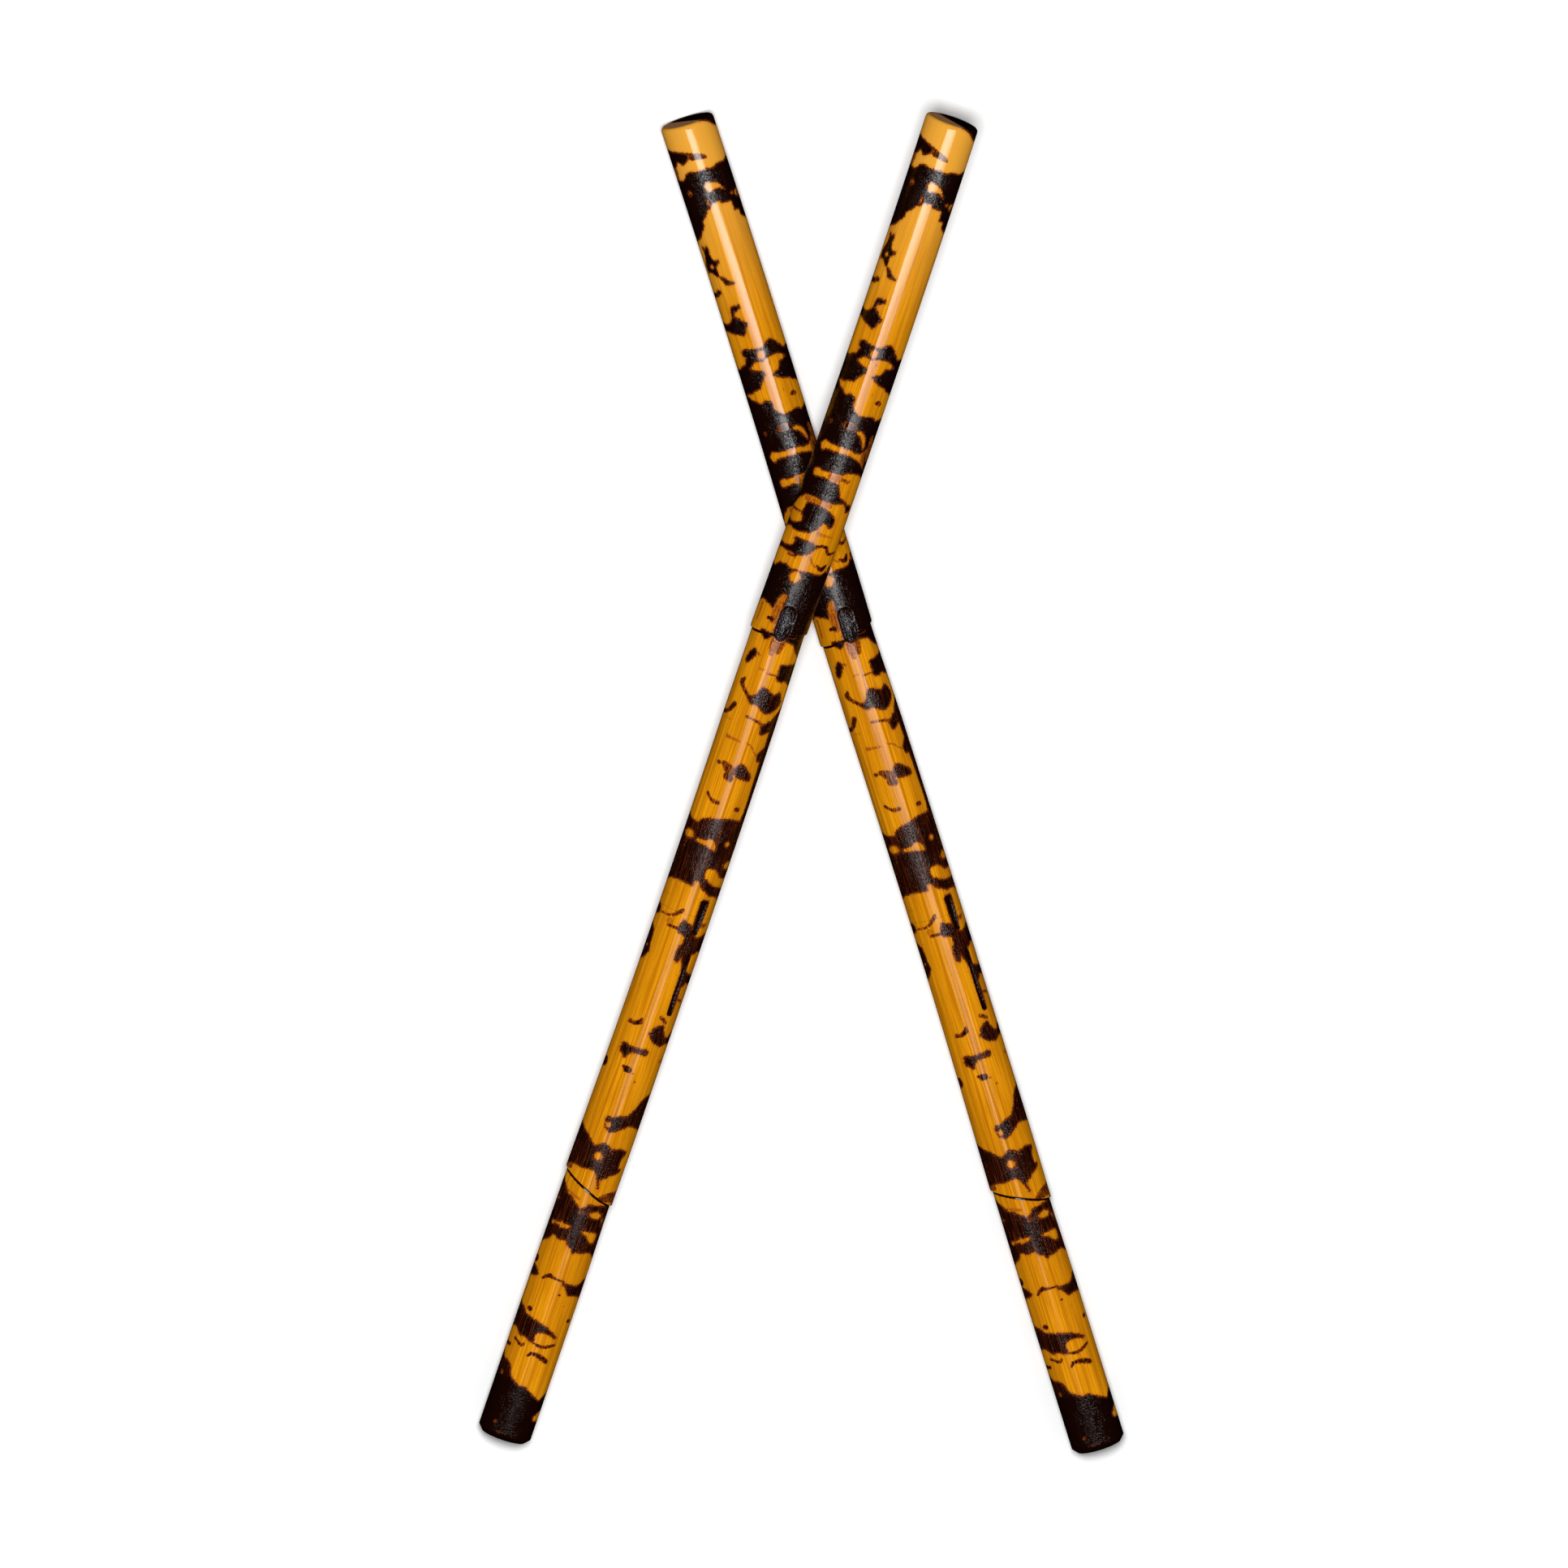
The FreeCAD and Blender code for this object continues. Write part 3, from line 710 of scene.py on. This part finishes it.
def flat_outline(points):
    """A smooth closed outline on the unrolled cane, in mm round it and mm from the tip."""
    corners = []
    for from_tip, degrees in points:
        if abs(degrees) > EDGE_OF_DRAWING:
            degrees = math.copysign(RUN_ON_TO, degrees)
        corners.append((arc(degrees), from_tip))
    corners = np.array(corners)
    before = np.roll(corners, 1, axis=0)
    after = np.roll(corners, -1, axis=0)
    beyond = np.roll(corners, -2, axis=0)
    curve = []
    for share in np.arange(CURVE_STEPS) / CURVE_STEPS:
        curve.append(0.5 * (
            2 * corners + (after - before) * share
            + (2 * before - 5 * corners + 4 * after - beyond) * share ** 2
            + (3 * corners - before - 3 * after + beyond) * share ** 3
        ))
    return np.stack(curve, axis=1).reshape(-1, 2)


def outline_distance(around, from_tip, outline):
    """How far each place lies inside an outline, in mm, and negative outside it."""
    nearest = np.full(len(around), REACH)
    inside = np.zeros(len(around), bool)
    for start, end in zip(outline, np.roll(outline, -1, axis=0)):
        nearest = np.minimum(nearest, straight_distance(around, from_tip, start, end)[0])
        crosses = (start[1] > from_tip) != (end[1] > from_tip)
        if crosses.any():
            crossing = start[0] + (from_tip - start[1]) * (end[0] - start[0]) / (end[1] - start[1])
            inside ^= crosses & (around < crossing)
    return np.where(inside, nearest, -nearest)


def straight_distance(around, from_tip, start, end):
    """Distance of each place from a straight piece, and the share along it of its nearest point."""
    step = np.subtract(end, start)
    length_squared = max(step @ step, WELD)
    share = ((around - start[0]) * step[0] + (from_tip - start[1]) * step[1]) / length_squared
    share = np.clip(share, 0, 1)
    return np.hypot(around - start[0] - share * step[0], from_tip - start[1] - share * step[1]), share


def stroke_distance(around, from_tip, points):
    """How far each place lies inside a stroke whose half width changes from point to point."""
    inside = np.full(len(around), -REACH)
    for (t0, degrees0, half0), (t1, degrees1, half1) in zip(points, points[1:]):
        gap, share = straight_distance(around, from_tip, (arc(degrees0), t0), (arc(degrees1), t1))
        inside = np.maximum(inside, half0 + (half1 - half0) * share - gap)
    return inside


def near(from_tip, points):
    """Which places lie within reach of the points of an outline or stroke."""
    along = [point[0] for point in points]
    return (from_tip > min(along) - REACH) & (from_tip < max(along) + REACH)


def folded(degrees, from_tip, drift):
    """Carries the drawing of the front round the back, mirrored at each side and drifting along the cane."""
    past_side = np.maximum(np.abs(degrees) - 90, 0)
    middle = np.sin(np.pi * np.clip(from_tip / STICK_LENGTH, 0, 1))
    slide = drift * (1 - fade(past_side / 90)) * middle
    return np.copysign(np.abs(degrees) - 2 * past_side, degrees), from_tip + slide


def scorching(degrees, from_tip, drift):
    """How deep each place lies in the char, in mm, and how browned it is, from 0 to 1."""
    degrees, from_tip = folded(degrees, from_tip, drift)
    around = np.radians(degrees) * PLAIN_RADIUS
    char = np.full(len(around), -REACH)
    brown = np.zeros(len(around))
    for outlines, clears in ((CHARRED, False), (CLEAR, True)):
        for points in outlines.values():
            here = near(from_tip, points)
            inside = outline_distance(around[here], from_tip[here], flat_outline(points))
            char[here] = np.minimum(char[here], -inside) if clears else np.maximum(char[here], inside)
    for centre, oval_degrees, half_length, half_width in CLEAR_OVALS:
        across = (around - arc(oval_degrees)) / half_width
        along = (from_tip - centre) / half_length
        inside = (1 - np.hypot(across, along)) * min(half_length, half_width)
        char = np.minimum(char, -inside)
    for strokes, thins in ((THINNED, True), (BROWNED, False)):
        for level, *points in strokes:
            here = near(from_tip, points)
            inside = stroke_distance(around[here], from_tip[here], points)
            brown[here] = np.maximum(brown[here], level * smooth_step(-0.45, 0.35, inside))
            if thins:
                char[here] = np.minimum(char[here], -inside)
    return char, brown


# ---- the sticks -------------------------------------------------------------------------------------

def stick_matrix(side, roll):
    """Takes the stick frame, in millimetres, to where the CAD part has the stick."""
    mounts = {mount["name"]: mount for mount in frame["record"]["mounts"]}
    grip = Vector(mounts[side + "_grip_face"]["pos_m"])
    along = Vector(mounts[side + "_tip_face"]["axis"])
    up = (Vector((0, 0, 1)) - along * along.z).normalized()
    front = up * math.cos(roll) + along.cross(up) * math.sin(roll)
    right = along.cross(front)
    turn = Matrix((right, -front, along)).transposed().to_4x4()
    return Matrix.Translation(grip) @ turn @ Matrix.Scale(MM, 4)


def keep(mesh, name, kind, values):
    """Keeps a value of each vertex on the mesh, for the material to read."""
    attribute = mesh.attributes.new(name, kind, "POINT")
    attribute.data.foreach_set("vector" if kind == "FLOAT_VECTOR" else "value", np.ravel(values))


def pressed_cane(name):
    """The mesh of a cane in the stick frame, and what press_into_shape returns for its vertices."""
    cane = spun_cane()
    mesh = bpy.data.meshes.new(name)
    cane.to_mesh(mesh)
    cane.free()
    spun = np.empty(len(mesh.vertices) * 3)
    mesh.vertices.foreach_get("co", spun)
    pressed = press_into_shape(spun.reshape(-1, 3))
    mesh.vertices.foreach_set("co", pressed[0].ravel())
    return mesh, pressed


def keep_marks(mesh, pressed, drift):
    """Keeps on each vertex its place, how charred and browned it is, and how close to bud and ring."""
    places, degrees, from_tip, above_ring = pressed
    around = np.radians(degrees) * PLAIN_RADIUS
    scar = by_scar(degrees, from_tip)
    hollow = np.full(len(around), -REACH)
    hollow[scar] = scar_hollow_distance(around[scar], from_tip[scar])
    bud = np.full(len(around), -REACH)
    bud[scar] = outline_distance(around[scar], from_tip[scar], flat_outline(BUD))
    char, brown = scorching(degrees, from_tip, drift)
    char = np.maximum(char, np.maximum(hollow, bud))
    char = np.where(split_depth(around, from_tip) > SPLIT_FLOOR, SOLID_CHAR, char)
    keep(mesh, "place", "FLOAT_VECTOR", places)
    keep(mesh, "char", "FLOAT", char)
    keep(mesh, "brown", "FLOAT", brown)
    keep(mesh, "bud", "FLOAT", bud)
    keep(mesh, "above_ring", "FLOAT", np.clip(above_ring, -REACH, REACH))


def mark_end_faces(mesh):
    """Gives the flat faces at the two ends the second material, and smooths the rest."""
    for face in mesh.polygons:
        at_end = face.center.z > STICK_LENGTH - WELD or face.center.z < WELD
        face.material_index = 1 if at_end else 0
        face.use_smooth = not at_end


def make_stick(side, roll, drift, materials):
    mesh, pressed = pressed_cane(side + "_cane")
    keep_marks(mesh, pressed, drift)
    for material in materials:
        mesh.materials.append(material)
    mark_end_faces(mesh)
    mesh.transform(stick_matrix(side, roll))
    stick = bpy.data.objects.new(side + "_cane", mesh)
    bpy.context.scene.collection.objects.link(stick)
    return stick


# ---- materials --------------------------------------------------------------------------------------

def add(tree, kind, inputs=None, **settings):
    """Adds a shader node. An input is either a value or the socket that feeds it."""
    node = tree.nodes.new("ShaderNode" + kind)
    for name, value in settings.items():
        setattr(node, name, value)
    for name, value in (inputs or {}).items():
        if isinstance(value, bpy.types.NodeSocket):
            tree.links.new(value, node.inputs[name])
        else:
            node.inputs[name].default_value = value
    return node


def new_group(name, takes, gives):
    """A shader node group, with the sockets that bring its inputs and take its outputs."""
    group = bpy.data.node_groups.new(name, "ShaderNodeTree")
    for label, kind in takes:
        group.interface.new_socket(label, in_out="INPUT", socket_type="NodeSocket" + kind)
    for label, kind in gives:
        group.interface.new_socket(label, in_out="OUTPUT", socket_type="NodeSocket" + kind)
    return group, group.nodes.new("NodeGroupInput").outputs, group.nodes.new("NodeGroupOutput").inputs


def grain(tree, place, across, along, detail=3.0):
    """Noise drawn out along the cane. Across and along are its fineness, per millimetre."""
    stretched = add(tree, "Mapping", {"Vector": place, "Scale": (across, across, along)})
    cloud = add(tree, "TexNoise", {"Vector": stretched.outputs["Vector"], "Scale": 1.0, "Detail": detail})
    return cloud.outputs["Fac"]


def number(tree, operation, first, second=0.0, third=0.0, clamp=False):
    inputs = {0: first, 1: second, 2: third}
    return add(tree, "Math", inputs, operation=operation, use_clamp=clamp).outputs[0]


def ramp(tree, value, low, high, to_low=0.0, to_high=1.0):
    """Eases from to_low to to_high as the value goes from low to high."""
    inputs = {"Value": value, "From Min": low, "From Max": high, "To Min": to_low, "To Max": to_high}
    return add(tree, "MapRange", inputs, interpolation_type="SMOOTHSTEP").outputs["Result"]


def mixed(tree, share, first, second):
    node = add(tree, "Mix", {0: share, 6: first, 7: second}, data_type="RGBA")
    return node.outputs[2]


def height_of(tree, place):
    return add(tree, "SeparateXYZ", {0: place}).outputs["Z"]


def cells(tree, place, fineness, **settings):
    """Distance from the middle of the closest of many cells.

    The fineness, per millimetre, is a number or one number for each axis.
    """
    if isinstance(fineness, tuple):
        place = add(tree, "Mapping", {"Vector": place, "Scale": fineness}).outputs["Vector"]
        fineness = 1.0
    return add(tree, "TexVoronoi", {"Vector": place, "Scale": fineness}, **settings).outputs["Distance"]


def fibre_group():
    """Tone and ridges of the cane's fibres."""
    group, takes, gives = new_group(
        "Cane fibres", (("Place", "Vector"),), (("Tone", "Float"), ("Ridges", "Float")),
    )
    place = takes["Place"]
    broad = grain(group, place, across=0.55, along=0.012)
    fine = grain(group, place, across=2.6, along=0.05)
    cloudy = grain(group, place, across=0.12, along=0.03)
    tone = number(group, "MULTIPLY", broad, 0.45)
    tone = number(group, "ADD", tone, number(group, "MULTIPLY", fine, 0.35))
    tone = number(group, "MULTIPLY_ADD", cloudy, 0.2, tone)
    lines = ramp(group, grain(group, place, across=2.3, along=0.008), 0.52, 0.62)
    lined = ramp(group, height_of(group, place), *LINED_HEIGHTS, 0.45, 0.9)
    pores = ramp(group, grain(group, place, across=5.0, along=0.7, detail=1.0), 0.6, 0.75, 0.0, 0.35)
    tone = number(group, "SUBTRACT", ramp(group, tone, 0.33, 0.67), number(group, "MULTIPLY", lines, lined))
    tone = number(group, "SUBTRACT", tone, pores)
    group.links.new(tone, gives["Tone"])
    group.links.new(number(group, "MULTIPLY_ADD", fine, 0.6, broad), gives["Ridges"])
    return group


def streakiness(group, takes):
    """How far streaks and dots may thin the char.

    They do so little above the tip ring, and not at all at the grip end or in a split.
    """
    height = height_of(group, takes["Place"])
    streaky = ramp(group, height, *TIP_RING_STREAKS, 0.15, 1.0)
    streaky = number(group, "MULTIPLY", streaky, ramp(group, height, *GRIP_END_STREAKS))
    shut_out, let_in = (SOLID_CHAR - below for below in STREAKS_LET_IN)
    return number(group, "MULTIPLY", streaky, ramp(group, takes["Char"], shut_out, let_in))


def streaked_char(group, place, charred, streaky):
    """The char, let down by thin streaks along the fibres and by patches of dots."""
    thin = ramp(group, grain(group, place, across=2.8, along=0.07), 0.45, 0.64)
    dots = cells(group, place, (2.0, 2.0, 1.1))
    patches = ramp(group, grain(group, place, across=0.35, along=0.12), 0.45, 0.62)
    dots = number(group, "MULTIPLY", ramp(group, dots, 0.34, 0.14), patches)
    thin = number(group, "MULTIPLY_ADD", dots, 1.3, thin)
    lighter = number(group, "MULTIPLY", number(group, "MULTIPLY", thin, streaky), -0.33)
    return number(group, "MULTIPLY_ADD", charred, lighter, charred)


def singed_rim(group, depth, charred):
    """The brown rim of the char and the fainter haze outside it."""
    unburnt = number(group, "SUBTRACT", 1.0, charred)
    rim = number(group, "MINIMUM", ramp(group, depth, -1.25, 0.05, 0.0, 0.74), unburnt)
    haze = number(group, "MINIMUM", ramp(group, depth, -2.8, -0.8, 0.0, 0.17), unburnt)
    return number(group, "MAXIMUM", rim, haze)


def browned_marks(group, takes, ragged, streaked, streaky):
    """The browned strokes, broken up into speckles, and scattered brown specks."""
    speckle = number(group, "MULTIPLY_ADD", streaked, 2.2, 1.0)
    speckle = number(group, "MULTIPLY_ADD", ragged, 1.5, speckle)
    browned = number(group, "MULTIPLY", takes["Brown"], speckle, clamp=True)
    specks = ramp(group, cells(group, takes["Place"], 0.16), 0.055, 0.025)
    specks = number(group, "MULTIPLY", number(group, "MULTIPLY", specks, streaky), 0.6)
    return number(group, "MAXIMUM", browned, specks)


def scorch_group():
    """Breaks up the drawn outlines: how burnt a place is, and whether its rind is charred."""
    group, takes, gives = new_group(
        "Scorching",
        (("Place", "Vector"), ("Char", "Float"), ("Brown", "Float")),
        (("Burn", "Float"), ("Charred", "Float")),
    )
    place = takes["Place"]
    ragged = number(group, "SUBTRACT", grain(group, place, across=1.2, along=1.0), 0.5)
    streaked = number(group, "SUBTRACT", grain(group, place, across=2.8, along=0.28), 0.5)
    depth = number(group, "MULTIPLY_ADD", ragged, 1.7, takes["Char"])
    depth = number(group, "MULTIPLY_ADD", streaked, 1.5, depth)
    charred = ramp(group, depth, -0.2, 0.35)
    streaky = streakiness(group, takes)
    burn = streaked_char(group, place, charred, streaky)
    burn = number(group, "MAXIMUM", burn, singed_rim(group, depth, charred))
    burn = number(group, "MAXIMUM", burn, browned_marks(group, takes, ragged, streaked, streaky))
    group.links.new(burn, gives["Burn"])
    group.links.new(charred, gives["Charred"])
    return group


def blister_group():
    """Height of the small blisters that burning raised in the lacquer."""
    group, takes, gives = new_group("Blisters", (("Place", "Vector"),), (("Height", "Float"),))
    place = takes["Place"]
    dome = ramp(group, cells(group, place, (1.9, 1.9, 1.3), feature="SMOOTH_F1"), 0.55, 0.1)
    patchy = ramp(group, grain(group, place, across=0.5, along=0.15), 0.36, 0.56)
    fine = grain(group, place, across=3.0, along=0.8)
    height = number(group, "MULTIPLY", dome, patchy)
    height = number(group, "ADD", height, number(group, "MULTIPLY", fine, 0.5))
    group.links.new(height, gives["Height"])
    return group


def use_group(tree, group, **inputs):
    node = tree.nodes.new("ShaderNodeGroup")
    node.node_tree = group
    for name, source in inputs.items():
        tree.links.new(source, node.inputs[name])
    return node.outputs


def kept(tree, name, output="Fac"):
    """A value that keep_marks keeps on each vertex."""
    return add(tree, "Attribute", attribute_name=name).outputs[output]


def new_material(name):
    material = bpy.data.materials.new(name)
    material.use_nodes = True
    tree = material.node_tree
    return material, tree, tree.nodes["Principled BSDF"].inputs


def burnt_colour(tree, clear, burn, settings):
    """The colour of clear cane, taken through amber and brown to char."""
    amber = mixed(tree, ramp(tree, burn, 0.05, 0.4), clear, settings.amber[:])
    brown = mixed(tree, ramp(tree, burn, 0.3, 0.68), amber, settings.brown[:])
    return mixed(tree, ramp(tree, burn, 0.62, 0.95), brown, settings.char[:])


def raise_surface(tree, height, shader):
    """Bumps the surface by a height in millimetres."""
    bump = add(tree, "Bump", {"Height": height, "Distance": MM, "Strength": 1.0})
    tree.links.new(bump.outputs["Normal"], shader["Normal"])


def clear_cane(tree, place, tone, settings):
    """The colour of unburnt cane, paler close to the tip: partly paler cane, partly painted sheen of the
    lacquer.
    """
    fibres = mixed(tree, tone, settings.cane_dark[:], settings.cane_light[:])
    begins, palest = (STICK_LENGTH - from_tip for from_tip in PALE_TIP_AND_SHEEN)
    # Painted sheen: the blend towards the pale tip colour stands in, in part, for the lacquer's sheen near
    # the tip.
    pale_and_sheen = number(tree, "MULTIPLY", ramp(tree, height_of(tree, place), begins, palest), PALE_AND_SHEEN_SHARE)
    return mixed(tree, pale_and_sheen, fibres, settings.tip_cane_and_sheen[:])


def ring_crack_shade(tree, bumps):
    """A dark line of painted shade along the crack under a ring's lip."""
    away = number(tree, "ABSOLUTE", number(tree, "ADD", kept(tree, "above_ring"), CRACK_BELOW_RING))
    away = number(tree, "MULTIPLY_ADD", bumps, 0.35, away)
    return ramp(tree, away, *CRACK_SHADE)


def rind_material(settings, fibres, scorch, blisters):
    material, tree, shader = new_material("Scorched rattan rind")
    place = kept(tree, "place", "Vector")
    cane = use_group(tree, fibres, Place=place)
    burns = use_group(tree, scorch, Place=place, Char=kept(tree, "char"), Brown=kept(tree, "brown"))
    bumps = use_group(tree, blisters, Place=place)["Height"]
    on_bud = ramp(tree, kept(tree, "bud"), 0.1, 0.6)

    clear = clear_cane(tree, place, cane["Tone"], settings)
    # The burn takes in the painted shade of the ring cracks, so they take the colour of char.
    burn = number(tree, "MAXIMUM", burns["Burn"], ring_crack_shade(tree, bumps))
    rind = burnt_colour(tree, clear, burn, settings)
    # The bud's pale flecks are partly grey bark and partly painted glints, sparkles of light on the bark.
    flecks_and_glints = ramp(tree, grain(tree, place, across=1.9, along=1.6, detail=4.0), 0.5, 0.68)
    bark = mixed(tree, flecks_and_glints, settings.char[:], settings.bud_grey_and_glints[:])
    tree.links.new(mixed(tree, on_bud, rind, bark), shader["Base Color"])

    rough = ramp(tree, burns["Charred"], 0.0, 1.0, settings.lacquer_roughness, CHAR_ROUGHNESS)
    tree.links.new(number(tree, "MULTIPLY_ADD", on_bud, BUD_ROUGHNESS, rough), shader["Roughness"])
    shader["IOR"].default_value = 1.5

    blistered = ramp(tree, burns["Charred"], 0.5, 1.0, 0.0, BLISTER_HEIGHT)
    blistered = number(tree, "MULTIPLY", bumps, blistered)
    bark = number(tree, "MULTIPLY", bumps, on_bud)
    surface = number(tree, "MULTIPLY_ADD", bark, BARK_HEIGHT, blistered)
    raise_surface(tree, number(tree, "MULTIPLY_ADD", cane["Ridges"], FIBRE_HEIGHT, surface), shader)
    return material


def end_grain_material(settings, fibres, scorch, blisters):
    """Sawn wood with open pores, charred on the grip face and on one side of the tip face."""
    material, tree, shader = new_material("Sawn rattan end")
    place = kept(tree, "place", "Vector")
    axes = add(tree, "SeparateXYZ", {0: place}).outputs
    at_tip = ramp(tree, axes["Z"], *MIDDLE_OF_CANE)
    burnt_side = number(tree, "MULTIPLY", axes["Y"], BURN_SLANT[1])
    burnt_side = number(tree, "MULTIPLY_ADD", axes["X"], BURN_SLANT[0], burnt_side)
    burnt_side = number(tree, "ADD", burnt_side, ramp(tree, at_tip, 0, 1, *FACE_BURN))
    burns = use_group(tree, scorch, Place=place, Char=burnt_side)
    cane = use_group(tree, fibres, Place=place)
    bumps = use_group(tree, blisters, Place=place)["Height"]

    pores = ramp(tree, cells(tree, place, 1.5), 0.34, 0.16)
    tone = number(tree, "MULTIPLY_ADD", cane["Tone"], -0.5, pores, clamp=True)
    wood = mixed(tree, tone, settings.end_wood[:], settings.brown[:])
    tree.links.new(burnt_colour(tree, wood, burns["Burn"], settings), shader["Base Color"])
    tree.links.new(ramp(tree, burns["Charred"], 0.0, 1.0, *END_ROUGHNESS), shader["Roughness"])
    pitted = number(tree, "MULTIPLY", pores, -PORE_DEPTH)
    raise_surface(tree, number(tree, "MULTIPLY_ADD", bumps, END_BLISTER_HEIGHT, pitted), shader)
    return material


def floor_material(settings):
    material, tree, shader = new_material("Pale table")
    place = add(tree, "TexCoord").outputs["Object"]
    cloud = add(tree, "TexNoise", {"Vector": place, "Scale": 3.0, "Detail": 2.0}).outputs["Fac"]
    worn = tuple(channel * 0.985 for channel in settings.floor_colour[:3]) + (1.0,)
    tree.links.new(mixed(tree, cloud, worn, settings.floor_colour[:]), shader["Base Color"])
    shader["Roughness"].default_value = 0.85
    shader["Specular IOR Level"].default_value = 0.15
    return material


def panel_material(name, steps, brightness):
    """A glow that rises in steps along Y."""
    material, tree = new_material(name)[:2]
    tree.nodes.remove(tree.nodes["Principled BSDF"])
    place = add(tree, "TexCoord").outputs["Object"]
    along = add(tree, "SeparateXYZ", {0: place}).outputs["Y"]
    glow = None
    for low, high, rise in steps:
        step = ramp(tree, along, low, high, 0.0, rise * brightness)
        glow = step if glow is None else number(tree, "ADD", glow, step)
    light = add(tree, "Emission", {"Strength": glow})
    tree.links.new(light.outputs[0], tree.nodes["Material Output"].inputs["Surface"])
    return material


# ---- the studio -------------------------------------------------------------------------------------

def flat_sheet(name, low, high, height, material):
    """A level rectangle between two corners."""
    sheet = bmesh.new()
    bmesh.ops.create_grid(sheet, x_segments=1, y_segments=1, size=0.5)
    size = (high[0] - low[0], high[1] - low[1], 1)
    middle = ((low[0] + high[0]) / 2, (low[1] + high[1]) / 2, height)
    bmesh.ops.transform(sheet, matrix=Matrix.LocRotScale(middle, None, size), verts=sheet.verts)
    mesh = bpy.data.meshes.new(name)
    sheet.to_mesh(mesh)
    sheet.free()
    mesh.materials.append(material)
    sheet_object = bpy.data.objects.new(name, mesh)
    bpy.context.scene.collection.objects.link(sheet_object)
    return sheet_object


def hide_panel(panel):
    """Leaves a panel to show only in the lacquer: the camera doesn't see it, and it casts no shadow."""
    panel.visible_camera = False
    panel.visible_diffuse = False
    panel.visible_shadow = False


def make_key_light(power):
    """A round light over the sticks, on the camera's line of sight, which the lacquer doesn't mirror."""
    lamp = bpy.data.lights.new("key", "AREA")
    lamp.shape = "DISK"
    lamp.size = KEY_WIDTH
    lamp.energy = power
    light = bpy.data.objects.new("key", lamp)
    light.location = VIEW_DIRECTION * KEY_DISTANCE
    light.rotation_euler = (-light.location).to_track_quat("-Z", "Y").to_euler()
    light.visible_camera = False
    light.visible_glossy = False
    bpy.context.scene.collection.objects.link(light)


def make_table(settings):
    corner = (TABLE_REACH, TABLE_REACH)
    table = flat_sheet("table", (-TABLE_REACH, -TABLE_REACH), corner, 0.0, floor_material(settings))
    table.visible_glossy = False
    table.visible_diffuse = False


def make_strips(brightness):
    strip = panel_material("Strip panel", STRIP_GLOW, brightness)
    for count, corners in enumerate(STRIPS, 1):
        hide_panel(flat_sheet("strip_panel_%d" % count, *corners, STRIP_HEIGHT, strip))


def make_camera(settings):
    up = (Vector((0, 1, 0)) - VIEW_DIRECTION * VIEW_DIRECTION.y).normalized()
    right = up.cross(VIEW_DIRECTION)
    rolled_up = up * math.cos(VIEW_ROLL) + right * math.sin(VIEW_ROLL)
    rolled_right = right * math.cos(VIEW_ROLL) - up * math.sin(VIEW_ROLL)
    aim = VIEW_CENTRE + rolled_right * VIEW_OFFSET[0] + rolled_up * VIEW_OFFSET[1]
    turn = Matrix((rolled_right, rolled_up, VIEW_DIRECTION)).transposed().to_4x4()
    lens = bpy.data.cameras.new("studio_camera")
    lens.sensor_width = SENSOR_WIDTH
    lens.lens = SENSOR_WIDTH * settings.camera_distance / settings.view_width
    lens.clip_end = VIEW_REACH
    camera = bpy.data.objects.new("studio_camera", lens)
    camera.matrix_world = Matrix.Translation(aim + VIEW_DIRECTION * settings.camera_distance) @ turn
    bpy.context.scene.collection.objects.link(camera)
    bpy.context.scene.camera = camera


def make_world(settings):
    world = bpy.data.worlds.new("dim room")
    world.use_nodes = True
    world.node_tree.nodes["Background"].inputs["Color"].default_value = (1, 1, 1, 1)
    world.node_tree.nodes["Background"].inputs["Strength"].default_value = settings.ambient
    bpy.context.scene.world = world
    world.cycles_visibility.glossy = False


# ---- operators, panel and registration --------------------------------------------------------------

class RATTAN_OT_add_sticks(bpy.types.Operator):
    """Add the two scorched rattan sticks"""
    bl_idname = "rattan.add_sticks"
    bl_label = "Add the sticks"

    def execute(self, context):
        settings = context.scene.rattan_sticks
        groups = (fibre_group(), scorch_group(), blister_group())
        materials = (rind_material(settings, *groups), end_grain_material(settings, *groups))
        drift = settings.back_drift / MM
        sticks = (("lower", settings.lower_roll, drift), ("upper", settings.upper_roll, -drift))
        for side, roll, drift_here in sticks:
            stick = make_stick(side, roll, drift_here, materials)
            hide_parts(side + "_stick")
            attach(stick, side + "_stick")
        return {"FINISHED"}


class RATTAN_OT_add_studio(bpy.types.Operator):
    """Add the table, the lights and the camera"""
    bl_idname = "rattan.add_studio"
    bl_label = "Add the studio"

    def execute(self, context):
        settings = context.scene.rattan_studio
        make_table(settings)
        make_strips(settings.glint)
        make_key_light(settings.key_power)
        make_world(settings)
        make_camera(settings)
        context.scene.view_settings.view_transform = "Standard"
        return {"FINISHED"}


class RATTAN_PT_sidebar(bpy.types.Panel):
    bl_label = "Rattan sticks"
    bl_idname = "RATTAN_PT_sidebar"
    bl_space_type = "VIEW_3D"
    bl_region_type = "UI"
    bl_category = "Rattan"

    def draw(self, context):
        for settings in (context.scene.rattan_sticks, context.scene.rattan_studio):
            for name in settings.__annotations__:
                self.layout.prop(settings, name)
        for operator in OPERATORS:
            self.layout.operator(operator.bl_idname)


OPERATORS = (RATTAN_OT_add_sticks, RATTAN_OT_add_studio)
CLASSES = (StickSettings, StudioSettings, *OPERATORS, RATTAN_PT_sidebar)


def register():
    for cls in CLASSES:
        bpy.utils.register_class(cls)
    bpy.types.Scene.rattan_sticks = bpy.props.PointerProperty(type=StickSettings)
    bpy.types.Scene.rattan_studio = bpy.props.PointerProperty(type=StudioSettings)


def unregister():
    del bpy.types.Scene.rattan_studio
    del bpy.types.Scene.rattan_sticks
    for cls in reversed(CLASSES):
        bpy.utils.unregister_class(cls)


def main():
    register()
    bpy.ops.rattan.add_sticks()
    bpy.ops.rattan.add_studio()


if __name__ == "__main__":
    main()
